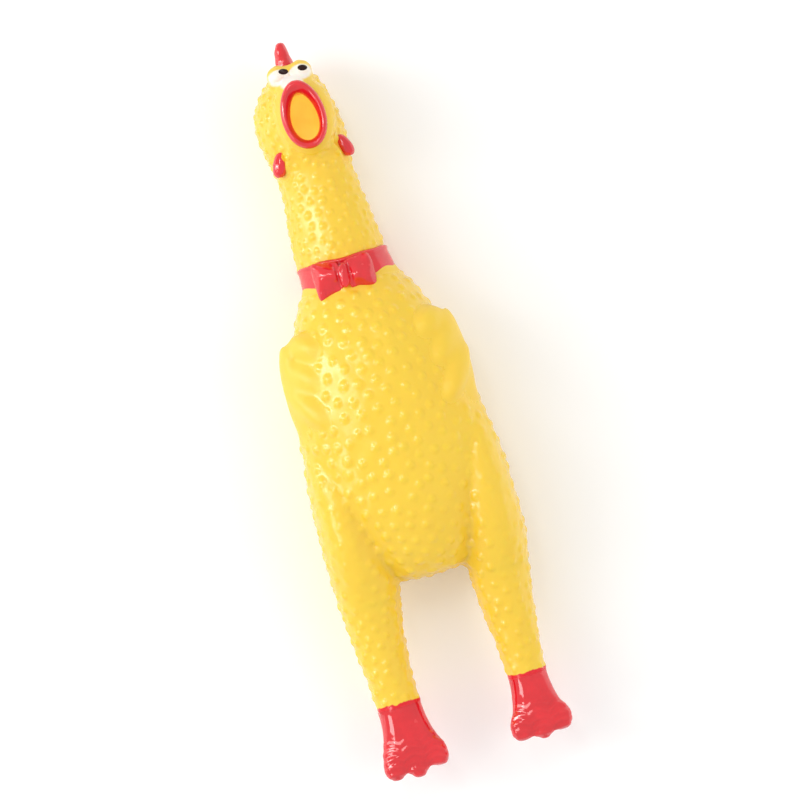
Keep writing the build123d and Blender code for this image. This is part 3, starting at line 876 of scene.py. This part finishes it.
def white_form(name, side):
    c, m = eye_centre(name), BETWEEN_EYES
    dome_form = blob(name + "_dome", (c.x, c.y - 0.15, c.z - 0.05), (2.2, 1.8, 2.3), turn=(-14, 0, 0))
    saddle_place = (m.x + side * 1.05, m.y - 0.55, m.z - 0.25)
    saddle = blob(name + "_saddle", saddle_place, (1.8, 1.65, 2.05), turn=(-14, 0, 0))
    white = fuse(name + "_eye_white_paint", [dome_form, saddle], 0.22, 5)
    bpy.ops.object.shade_smooth()
    return white


whites = {name: white_form(name, side) for name, side in SIDES.items()}
print("eye white faces", [len(w.data.polygons) for w in whites.values()])

# %% [markdown]
# The pupils are dabs of nearly black paint, a little thick. A flat oval with rings of inset faces is laid on
# the white by Shrinkwrap, from straight above, and Solidify gives it the paint's thickness. A black ball set
# into the white would do at a distance, but its edge would follow the ball and not the brush.

# %% Pupils
PUPIL_HALVES, PUPIL_TILT, PAINT_THICKNESS = (1.08, 0.68), -12, 0.16


def pupil_form(name, side, ground):
    """A thin oval dab that lies on the white."""
    x, y, _ = middle_mm(name + "_pupil")
    nothing_selected()
    bpy.ops.mesh.primitive_circle_add(vertices=32, radius=1.0, fill_type="NGON")
    dab = bpy.context.object
    dab.name = name + "_pupil_paint"
    bpy.ops.object.mode_set(mode="EDIT")
    for _ring in range(4):
        bpy.ops.mesh.inset(thickness=0.2, depth=0)
    bpy.ops.object.mode_set(mode="OBJECT")
    dab.scale = metres((*PUPIL_HALVES, 1))
    dab.rotation_euler = (0, 0, math.radians(PUPIL_TILT))
    dab.location = metres((x - 0.5 * side + 0.5, y + 0.15 - 0.15 * side, NECK_Z + 25))
    bpy.ops.object.transform_apply(location=True, rotation=True, scale=True)
    apply_modifier(
        dab, "SHRINKWRAP", target=ground, wrap_method="PROJECT", wrap_mode="ABOVE_SURFACE",
        use_project_z=True, use_negative_direction=True, use_positive_direction=False, offset=0.05 * MM,
    )
    apply_modifier(dab, "SOLIDIFY", thickness=PAINT_THICKNESS * MM, offset=-1)
    outward(dab)
    bpy.ops.object.shade_smooth()
    return dab


eye_ground = join("eye_ground", [copy_of(piece, "eye_ground") for piece in (*whites.values(), head)])
pupils = {name: pupil_form(name, side, eye_ground) for name, side in SIDES.items()}
bpy.data.objects.remove(eye_ground)
for name, dab in pupils.items():
    print(name, "pupil at", [round(c / MM, 2) for c in dab.data.vertices[0].co])

# %% [markdown]
# ## Wattles
#
# A small red lobe hangs at each side below the beak: a drop that is fat at its outer end. It is one tube. At
# its inner end the red thins out to yellow, which its own `paint` attribute tells the material.

# %% Wattles
WATTLE_RINGS = (
    (3.0, 1.3, 0.4, 0.9, 0.9), (2.1, 1.0, 0.3, 1.45, 1.45), (0.7, 0.5, 0.2, 1.75, 1.8),
    (-0.8, 0.1, 0.1, 1.75, 1.9), (-1.8, -0.15, 0.0, 1.35, 1.5), (-2.4, -0.25, 0.0, 0.65, 0.7),
)
WATTLE_SHIFTS = {1: Vector((-0.6, 0.9, 0.0)), -1: Vector((-0.3, 0.3, 0.0))}


def wattle_form(name, side):
    low, high = box_mm(name + "_wattle")
    c = 0.5 * (low + high) + WATTLE_SHIFTS[side]
    larger, lift, bare = (1.05, 0.6, 1.5) if side < 0 else (1.0, 0.0, 0.8)
    rings = [
        (c.y - 2.4 + (y + 2.4) * larger, c.x - side * x * larger, c.z + z + lift, w * larger, d * larger)
        for y, x, z, w, d in WATTLE_RINGS
    ]
    lobe = tube(name + "_wattle_lobe", rings, corners=20)
    bpy.ops.object.shade_smooth()
    from_inner_end = oval(read_points(lobe.data)[0], c.x - side * 2.8, c.y + 1.6, 1.0, 1.0)
    set_attribute(lobe.data, "paint", from_inner_end - bare)
    return lobe


wattles = {name: wattle_form(name, side) for name, side in SIDES.items()}
print("wattles", [w.name for w in wattles.values()])

# %% [markdown]
# ## Neck band and bow tie
#
# The band is a flat ring with a raised edge at its top and bottom. It starts as a torus whose round section
# is pressed into that shape, and its edges wave a little, as they do on the soft moulding.

# %% Neck band
BAND_Y = 0.5 * (band_low.y + band_high.y)
BAND_HALF = 0.5 * (band_high.y - band_low.y)
RING_RADIUS = 0.5 * (band_high.x - band_low.x) - 1.0


def band_piece():
    nothing_selected()
    bpy.ops.mesh.primitive_torus_add(
        major_segments=128, minor_segments=28, major_radius=RING_RADIUS * MM, minor_radius=1.0 * MM,
        rotation=(math.pi / 2, 0, 0), location=metres((0, BAND_Y, NECK_Z)),
    )
    bpy.ops.object.transform_apply(location=True, rotation=True, scale=True)
    band = bpy.context.object
    band.name = "collar_band"
    p, _ = read_points(band.data)
    beside = np.hypot(p[:, 0], p[:, 2] - NECK_Z)
    across, out = p[:, 1] - BAND_Y, beside - RING_RADIUS
    across = np.sign(across) * np.abs(across) ** 0.45
    edge = np.exp(-(((np.abs(across) - 0.86) / 0.13) ** 2)) * np.where(across > 0, 0.5, 0.28)
    out = np.sign(out) * np.abs(out) ** 0.6 * 0.95 - 0.36 + edge
    turn = np.arctan2(p[:, 2] - NECK_Z, p[:, 0])
    wave = 0.22 * np.sin(3 * turn + 0.6) + 0.12 * np.sin(7 * turn)
    upper = smoothstep(across, -0.6, 1.0)
    scale = (RING_RADIUS + out - 0.55 * upper) / beside
    p[:, 0] = p[:, 0] * scale - 0.35 * upper
    p[:, 2] = NECK_Z + (p[:, 2] - NECK_Z) * scale
    p[:, 1] = BAND_Y + 0.25 + across * (BAND_HALF + 0.2) + wave
    write_points(band.data, p)
    apply_modifier(band, "SUBSURF", levels=1, render_levels=1)
    bpy.ops.object.shade_smooth()
    return outward(band)


band = band_piece()
print("band faces", len(band.data.polygons))

# %% [markdown]
# The bow is two flared lobes and a knot, fused, with folds that run out from the knot, and it bends a little
# way round the neck. Cloth could be simulated and tied, but this bow is a lump of vinyl that only looks tied.

# %% Bow tie
bow_x, bow_y, _ = middle_mm("bow_tie")
BOW = Vector((bow_x - 0.8, bow_y, box_mm("bow_tie")[1].z))
BOW_RINGS = (  # out from the knot, half height, half depth
    (0.4, 3.4, 0.8), (1.8, 3.5, 1.6), (3.4, 3.75, 2.25), (5.0, 4.0, 2.1), (6.3, 4.05, 1.6), (7.1, 3.6, 0.8),
)


def bow_lobe(side):
    """One plump lobe along X, nearly as tall at the knot as at its blunt outer end."""
    lobe = tube("bow_lobe", [(x, 0, 0, h, d) for x, h, d in BOW_RINGS], corners=20)
    p, _ = read_points(lobe.data)
    along, up, out = p[:, 1].copy(), p[:, 0].copy(), p[:, 2].copy()
    fan = np.arctan2(up, along + 2.2)
    reach_out = smoothstep(along, 0.6, 2.6) * fade(along, 4.6, 6.6)
    fold = 0.6 * reach_out * (np.cos(fan * 5.6 + 0.7 * side) - 0.4)
    droop = (0.45 if side < 0 else 0.1) * smoothstep(along, 3, 6.5) * np.clip(-up, 0, None) * 0.6
    y = up - 0.05 * side * along - droop
    z = out + np.where(out > 0, fold, 0) - along**2 / 28
    write_points(lobe.data, np.column_stack([BOW.x + side * along, BOW.y + y, BOW.z - 2.0 + z]))
    return outward(lobe)


def bow_piece():
    """The two lobes and the knot, fused, with a groove on each side of the knot."""
    knot = blob("bow_knot", (BOW.x, BOW.y - 0.2, BOW.z - 1.2), (1.3, 2.9, 1.25), turn=(0, 0, -8))
    bow = fuse("bow_knot_and_lobes", [bow_lobe(1), bow_lobe(-1), knot], 0.2, 2)
    p, n = read_points(bow.data)
    beside_knot = np.exp(-(((np.abs(p[:, 0] - BOW.x) - 1.5) / 0.28) ** 2))
    groove = beside_knot * smoothstep(p[:, 2], BOW.z - 2.5, BOW.z - 1.0)
    crumple = 0.12 * lumps(p, 3.4, 11)
    write_points(bow.data, p + n * (crumple - 0.35 * groove)[:, None])
    apply_modifier(bow, "SMOOTH", factor=0.4, iterations=2)
    bpy.ops.object.shade_smooth()
    return bow


bow = bow_piece()
print("bow faces", len(bow.data.polygons))

# %% [markdown]
# ## Effects that the finishes share
#
# Nodes are added by a few short helpers, so that a material reads like a recipe. Wherever a helper takes a
# value, it takes a plain number or colour, or another node's output, which is then linked. Noise is read at
# Object coordinates, so it stays on the skin when a body moves.

# %% Helpers for nodes


def feed(tree, socket, value):
    if isinstance(value, bpy.types.NodeSocket):
        tree.links.new(value, socket)
    else:
        socket.default_value = value


def add(tree, kind, inputs=None, **settings):
    node = tree.nodes.new(kind)
    for key, value in settings.items():
        setattr(node, key, value)
    for key, value in (inputs or {}).items():
        feed(tree, node.inputs[key], value)
    return node


def placed(tree, group, **inputs):
    return add(tree, "ShaderNodeGroup", inputs, node_tree=group)


def maths(tree, operation, a, b=0.0, c=0.0):
    return add(tree, "ShaderNodeMath", {0: a, 1: b, 2: c}, operation=operation).outputs[0]


def mix_colours(tree, factor, a, b):
    node = add(tree, "ShaderNodeMix", data_type="RGBA")
    for key, value in (("Factor_Float", factor), ("A_Color", a), ("B_Color", b)):
        feed(tree, next(s for s in node.inputs if s.identifier == key), value)
    return next(s for s in node.outputs if s.identifier == "Result_Color")


def step_between(tree, value, low, high):
    inputs = {"Value": value, "From Min": low, "From Max": high}
    return add(tree, "ShaderNodeMapRange", inputs, interpolation_type="SMOOTHSTEP").outputs["Result"]


def attribute(tree, name):
    return add(tree, "ShaderNodeAttribute", attribute_name=name).outputs["Fac"]


def object_noise(tree, scale, detail):
    place = add(tree, "ShaderNodeTexCoord").outputs["Object"]
    return add(tree, "ShaderNodeTexNoise", {"Vector": place, "Scale": scale, "Detail": detail}).outputs["Fac"]


# %% [markdown]
# Three node groups carry what more than one finish needs: a slow drift between two colours, the faint
# unevenness of moulded vinyl for roughness and bump, and a ragged paint edge made from a distance. Each is
# built once and placed in every material with its own values.

# %% Node groups
COLOUR, NUMBER = "NodeSocketColor", "NodeSocketFloat"


def new_group(name, inputs, outputs):
    group = bpy.data.node_groups.new(name, "ShaderNodeTree")
    for label, kind, value in inputs:
        group.interface.new_socket(label, in_out="INPUT", socket_type=kind).default_value = value
    for label, kind in outputs:
        group.interface.new_socket(label, in_out="OUTPUT", socket_type=kind)
    return group, group.nodes.new("NodeGroupInput").outputs, group.nodes.new("NodeGroupOutput").inputs


def colour_drift_group():
    group, given, out = new_group(
        "Colour drift",
        [("Colour", COLOUR, (1, 1, 1, 1)), ("Drifted", COLOUR, (1, 1, 1, 1)), ("Size", NUMBER, 60.0),
         ("Amount", NUMBER, 0.5)],
        [("Colour", COLOUR)],
    )
    noise = object_noise(group, given["Size"], 3.0)
    share = maths(group, "MULTIPLY", step_between(group, noise, 0.35, 0.65), given["Amount"])
    feed(group, out["Colour"], mix_colours(group, share, given["Colour"], given["Drifted"]))
    return group


def moulding_group():
    group, given, out = new_group(
        "Moulding",
        [("Roughness", NUMBER, 0.3), ("Variation", NUMBER, 0.06), ("Grain", NUMBER, 900.0)],
        [("Roughness", NUMBER), ("Height", NUMBER)],
    )
    broad = object_noise(group, 120.0, 2.0)
    fine = object_noise(group, given["Grain"], 4.0)
    around_zero = maths(group, "SUBTRACT", broad, 0.5)
    uneven = maths(group, "MULTIPLY_ADD", around_zero, given["Variation"], given["Roughness"])
    feed(group, out["Roughness"], uneven)
    feed(group, out["Height"], maths(group, "MULTIPLY_ADD", fine, 0.4, maths(group, "MULTIPLY", broad, 0.6)))
    return group


def paint_edge_group():
    group, given, out = new_group(
        "Paint edge",
        [("Distance", NUMBER, 0.0), ("Ragged", NUMBER, 0.5), ("Softness", NUMBER, 0.15),
         ("Size", NUMBER, 700.0)],
        [("Mask", NUMBER)],
    )
    noise = object_noise(group, given["Size"], 3.0)
    shift = maths(group, "MULTIPLY", maths(group, "SUBTRACT", noise, 0.5), given["Ragged"])
    distance = maths(group, "ADD", given["Distance"], maths(group, "MULTIPLY", shift, 2.0))
    low = maths(group, "MULTIPLY", given["Softness"], -1.0)
    feed(group, out["Mask"], step_between(group, distance, low, given["Softness"]))
    return group


DRIFT, MOULDING, PAINT_EDGE = colour_drift_group(), moulding_group(), paint_edge_group()
print("groups", [g.name for g in (DRIFT, MOULDING, PAINT_EDGE)])

# %% [markdown]
# ## Finishes
#
# Every finish is one Principled shader. What is the same all over is set on the shader's own sockets, and
# what changes over the surface is fed by nodes: a colour that drifts, a paint's mask, and the moulded
# surface's uneven gloss and fine relief.

# %% Helpers for finishes


def rgb(red, green, blue):
    """A colour given as it looks, from 11 to 255, turned into the shader's linear numbers."""
    return tuple(((c / 255 + 0.055) / 1.055) ** 2.4 for c in (red, green, blue)) + (1.0,)


def new_material(name, **sockets):
    material = bpy.data.materials.new(name)
    material.use_nodes = True
    shader = material.node_tree.nodes["Principled BSDF"]
    for key, value in sockets.items():
        shader.inputs[key.replace("_", " ")].default_value = value
    return material, material.node_tree, shader


def drifting(tree, colour, other, size, amount):
    return placed(tree, DRIFT, Colour=colour, Drifted=other, Size=size, Amount=amount).outputs["Colour"]


def paint_mask(tree, name, ragged, softness):
    distance = attribute(tree, name)
    return placed(tree, PAINT_EDGE, Distance=distance, Ragged=ragged, Softness=softness).outputs["Mask"]


def moulded(tree, shader, roughness, variation, strength, depth, grain):
    """Uneven gloss, and a relief too fine for the mesh."""
    finish = placed(tree, MOULDING, Roughness=roughness, Variation=variation, Grain=grain)
    inputs = {"Height": finish.outputs["Height"], "Strength": strength, "Distance": depth * MM}
    feed(tree, shader.inputs["Roughness"], finish.outputs["Roughness"])
    feed(tree, shader.inputs["Normal"], add(tree, "ShaderNodeBump", inputs).outputs["Normal"])


# %% [markdown]
# Soft vinyl is coloured all through and lets a little light in, so its shaded side turns warm orange instead
# of grey. The shader's subsurface does that. The surface is glossy from the mould, and satin where it is
# smooth. Red spray lies around the beak and above the feet and white spray round the eyes, with ragged edges
# taken from the paint distances. Light that comes through the thin wall makes the hollow head bright inside,
# and a faint emission there stands for it, because this wall is closed and would let none in.

# %% Yellow vinyl
GLOSS, SATIN_ADDS = 0.21, 0.24
# The valley yellow is painted shade: a slightly darker, duller yellow for the valleys between the bumps.
YELLOW, AMBER, VALLEY_SHADE = rgb(246, 208, 58), rgb(245, 199, 52), rgb(246, 205, 64)
# The lighter red is a painted highlight on the crests of the red paint.
RED, DEEP_RED, CREST_HIGHLIGHT_RED = rgb(230, 22, 36), rgb(208, 14, 28), rgb(240, 70, 72)
WHITE = rgb(251, 244, 234)
GLOW, GLOW_DRIFTED, NO_GLOW = rgb(138, 124, 60), rgb(150, 138, 68), (0, 0, 0, 1)


def yellow_vinyl():
    material, tree, shader = new_material(
        "yellow_vinyl_glossy", Specular_IOR_Level=0.7, Coat_Weight=0.0, Subsurface_Weight=0.15,
        Subsurface_Radius=(1.0, 0.45, 0.06), Subsurface_Scale=0.0018, Emission_Strength=1.0,
    )
    base = drifting(tree, YELLOW, AMBER, 45.0, 0.5)
    # Painted shade: the valleys between the bumps, and the smooth places, are mixed half way to a darker,
    # duller yellow.
    base = mix_colours(tree, maths(tree, "MULTIPLY_ADD", attribute(tree, "bump"), -0.5, 0.5), base, VALLEY_SHADE)
    base = mix_colours(tree, paint_mask(tree, "paint", 0.5, 0.14), base, RED)
    base = mix_colours(tree, paint_mask(tree, "white", 0.3, 0.5), base, WHITE)
    feed(tree, shader.inputs["Base Color"], base)
    glow = drifting(tree, GLOW, GLOW_DRIFTED, 220.0, 1.0)
    feed(tree, shader.inputs["Emission Color"], mix_colours(tree, attribute(tree, "inside"), NO_GLOW, glow))
    roughness = maths(tree, "MULTIPLY_ADD", attribute(tree, "satin"), SATIN_ADDS, GLOSS)
    moulded(tree, shader, roughness, 0.12, 0.15, 0.2, 900.0)
    return material


# %% [markdown]
# Red paint lies in a glossy coat over the yellow, so the gloss is the shader's coat. Its colour drifts at
# random to a deeper red, its crests are painted lighter as a painted highlight, and at its edge specks of
# yellow show through. White and black are dabbed on by hand and dry a little less glossy. The squeaker's
# plastic and the clear reed need no more than that.

# %% Red, white and black paint, plastic and film


def red_paint(name, with_edge):
    material, tree, shader = new_material(
        name, Coat_Weight=1.0, Coat_IOR=1.85, Coat_Roughness=0.05, Specular_IOR_Level=0.0,
        Subsurface_Weight=0.05, Subsurface_Radius=(1.0, 0.2, 0.1), Subsurface_Scale=0.0012,
    )
    # Painted highlight: crests, found by pointiness, are mixed towards a lighter red.
    crest_highlight = step_between(tree, add(tree, "ShaderNodeNewGeometry").outputs["Pointiness"], 0.5, 0.58)
    base = drifting(tree, RED, DEEP_RED, 260.0, 0.5)
    base = mix_colours(tree, maths(tree, "MULTIPLY", crest_highlight, 0.45), base, CREST_HIGHLIGHT_RED)
    if with_edge:
        base = mix_colours(tree, paint_mask(tree, "paint", 0.5, 0.14), YELLOW, base)
    feed(tree, shader.inputs["Base Color"], base)
    moulded(tree, shader, 0.22, 0.1, 0.2, 0.25, 1400.0)
    return material


def plain_paint(name, colour, drifted, roughness, coat, specular=0.5):
    material, tree, shader = new_material(
        name, Coat_Weight=coat, Coat_Roughness=0.12, Specular_IOR_Level=specular
    )
    feed(tree, shader.inputs["Base Color"], drifting(tree, colour, drifted, 300.0, 0.6))
    moulded(tree, shader, roughness, 0.1, 0.15, 0.2, 1200.0)
    return material


FINISH = {
    "yellow": yellow_vinyl(),
    "red": red_paint("red_paint_glossy", False),
    "red_edge": red_paint("red_paint_with_edge", True),
    "white": plain_paint("white_paint_eyes", WHITE, rgb(252, 238, 216), 0.3, 0.2),
    "black": plain_paint("black_paint_pupils", rgb(40, 20, 18), rgb(58, 28, 24), 0.2, 0.0, 0.25),
    "plastic": plain_paint("squeaker_plastic_milky", rgb(236, 232, 220), rgb(222, 216, 200), 0.4, 0.0),
    "film": plain_paint("reed_film_clear", rgb(206, 214, 220), rgb(190, 200, 208), 0.15, 0.2),
}
print("finishes", sorted(FINISH))

# %% [markdown]
# ## Putting the pieces on their bodies
#
# Each finished piece gets its material, and the CAD nodes that it stands for are hidden. The skin's pieces,
# the torso, the head and the legs, only have their placement baked into their points: they ride on no body
# here, and nothing blends them over the stretches at the neck, the hips and the belly. Riding stiffly on
# their bodies would tear the skin apart there.


def dress(piece, finish):
    piece.data.materials.clear()
    piece.data.materials.append(FINISH[finish])


def span(piece):
    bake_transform(piece)


for piece in (torso, head, *legs.values()):
    dress(piece, "yellow")
span(torso)
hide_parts("torso_skin", "belly_panel", "left_wing", "right_wing")
span(head)
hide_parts("head_skin")
for name, side in SIDES.items():
    span(legs[name])
    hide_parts(name + "_leg_skin")
print("blended", [piece.name for piece in (torso, head, *legs.values())])

# %% [markdown]
# The feet, the face, the band and the bow lie beside the stretches that bend, so each rides stiffly on one
# body.

# %% Painted relief rides on its body
for name in SIDES:
    dress(feet[name], "red_edge")
    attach(feet[name], name + "_leg")
    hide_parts(name + "_foot")
    dress(whites[name], "white")
    dress(pupils[name], "black")
    dress(wattles[name], "red_edge")
    for piece, node in ((whites[name], "eye_white"), (pupils[name], "pupil"), (wattles[name], "wattle")):
        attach(piece, "head")
        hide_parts(f"{name}_{node}")
for piece, finish, body, node in (
    (lips, "red_edge", "head", "beak_rim"), (comb, "red", "head", "comb"),
    (band, "red", "torso", "neck_band"), (bow, "red", "torso", "bow_tie"),
):
    dress(piece, finish)
    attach(piece, body)
    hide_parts(node)
print("riding", [piece.name for piece in (*feet.values(), lips, comb, band, bow)])

# %% [markdown]
# The squeaker is out of sight inside the body. Its CAD parts keep their shape and only get their finish:
# milky plastic for what is moulded, and clear film for the reed that vibrates.

# %% Squeaker
for finish, nodes in (
    ("plastic", ("squeaker_housing", "squeaker_cap", "reed_block", "reed_clamp")),
    ("film", ("reed_root", "reed_tongue")),
):
    for node in nodes:
        bpy.data.objects[node].material_slots[0].material = FINISH[finish]
    print(finish, nodes)

# %% [markdown]
# ## Floor, light and camera
#
# The toy lies on its back on a pale floor. The floor has a very faint glow of its own, so that it stays
# nearly white under the toy.

# %% Floor
FLOOR_GLOW = 0.12
nothing_selected()
bpy.ops.mesh.primitive_plane_add(size=4.0, location=(0, 0, 0))
floor = bpy.context.object
floor.name = "floor"
floor_material, floor_tree, floor_shader = new_material(
    "floor_pale", Roughness=0.7, Emission_Color=(1, 1, 1, 1), Emission_Strength=FLOOR_GLOW
)
floor_noise = add(floor_tree, "ShaderNodeTexNoise", {"Scale": 30.0, "Detail": 2.0}).outputs["Fac"]
floor_colour = mix_colours(floor_tree, floor_noise, (0.9, 0.9, 0.9, 1), (0.92, 0.92, 0.92, 1))
feed(floor_tree, floor_shader.inputs["Base Color"], floor_colour)
floor.data.materials.append(floor_material)
print("floor", [round(c, 2) for c in floor.dimensions])

# %% [markdown]
# A large soft light from the upper left, with a brighter core, makes the long highlights, and a small one
# lower down carries them on to the legs. A weaker light fills from the right. It is hidden from glossy rays,
# so that it brightens the shaded side without a grey patch of its own. A small light near the top gives the
# short sparkles on the bumps. Each light's strength is a radiance, so that its size can change by itself.

# %% Lights
ROLL = math.radians(16.1)
TO_LEFT = Vector((-math.cos(ROLL), math.sin(ROLL), 0))
TO_TOP = Vector((math.sin(ROLL), math.cos(ROLL), 0))
NEUTRAL, WARM = (1, 1, 1), (1.0, 0.99, 0.97)
ROOM_LIGHT = 0.61


def soft_light(name, towards, distance, size, radiance, colour):
    """A rectangular softbox towards the left, the top and up, that looks at the toy."""
    nothing_selected()
    left, top, up = towards
    direction = (TO_LEFT * left + TO_TOP * top + Vector((0, 0, up))).normalized()
    bpy.ops.object.light_add(type="AREA", location=direction * distance)
    light = bpy.context.object
    light.name = name
    light.data.shape, light.data.color = "RECTANGLE", colour
    light.data.size, light.data.size_y = size
    light.data.energy = radiance * math.pi * size[0] * size[1]
    light.rotation_euler = (-direction).to_track_quat("-Z", "Y").to_euler()
    return light


soft_light("softbox_left", (0.80, 0.07, 0.58), 0.75, (0.25, 0.98), 2.7, WARM)
soft_light("softbox_left_core", (0.80, 0.12, 0.58), 0.74, (0.07, 0.45), 7.5, WARM)
soft_light("softbox_left_low", (0.73, -0.36, 0.58), 0.75, (0.14, 0.26), 4.0, WARM)
fill = soft_light("softbox_right", (-0.82, 0.0, 0.57), 0.75, (0.45, 0.9), 1.5, NEUTRAL)
fill.visible_glossy = False
soft_light("softbox_top", (0.22, 0.34, 0.91), 0.8, (0.12, 0.2), 6.0, NEUTRAL)
world = bpy.data.worlds.new("studio")
bpy.context.scene.world = world
world.use_nodes = True
background = world.node_tree.nodes["Background"]
background.inputs["Color"].default_value = (1, 1, 1, 1)
background.inputs["Strength"].default_value = ROOM_LIGHT
bpy.context.scene.view_settings.view_transform = "Standard"

# %% [markdown]
# The camera looks straight down and is turned a little, so that the toy lies aslant. A long lens from far
# away keeps the head and the feet at the same scale.

# %% Camera
VIEW_WIDTH, FOCAL, SENSOR = 183.3, 150.0, 36.0
AIM = Vector((3.5, -0.5, 13.0))
nothing_selected()
distance = VIEW_WIDTH * FOCAL / SENSOR
bpy.ops.object.camera_add(location=(AIM + Vector((0, 0, distance))) * MM, rotation=(0, 0, -ROLL))
camera = bpy.context.object
camera.name = "view_from_above"
camera.data.lens = FOCAL
camera.data.clip_start, camera.data.clip_end = 0.01, 10.0
bpy.context.scene.camera = camera
print("camera at", [round(c, 3) for c in camera.location])
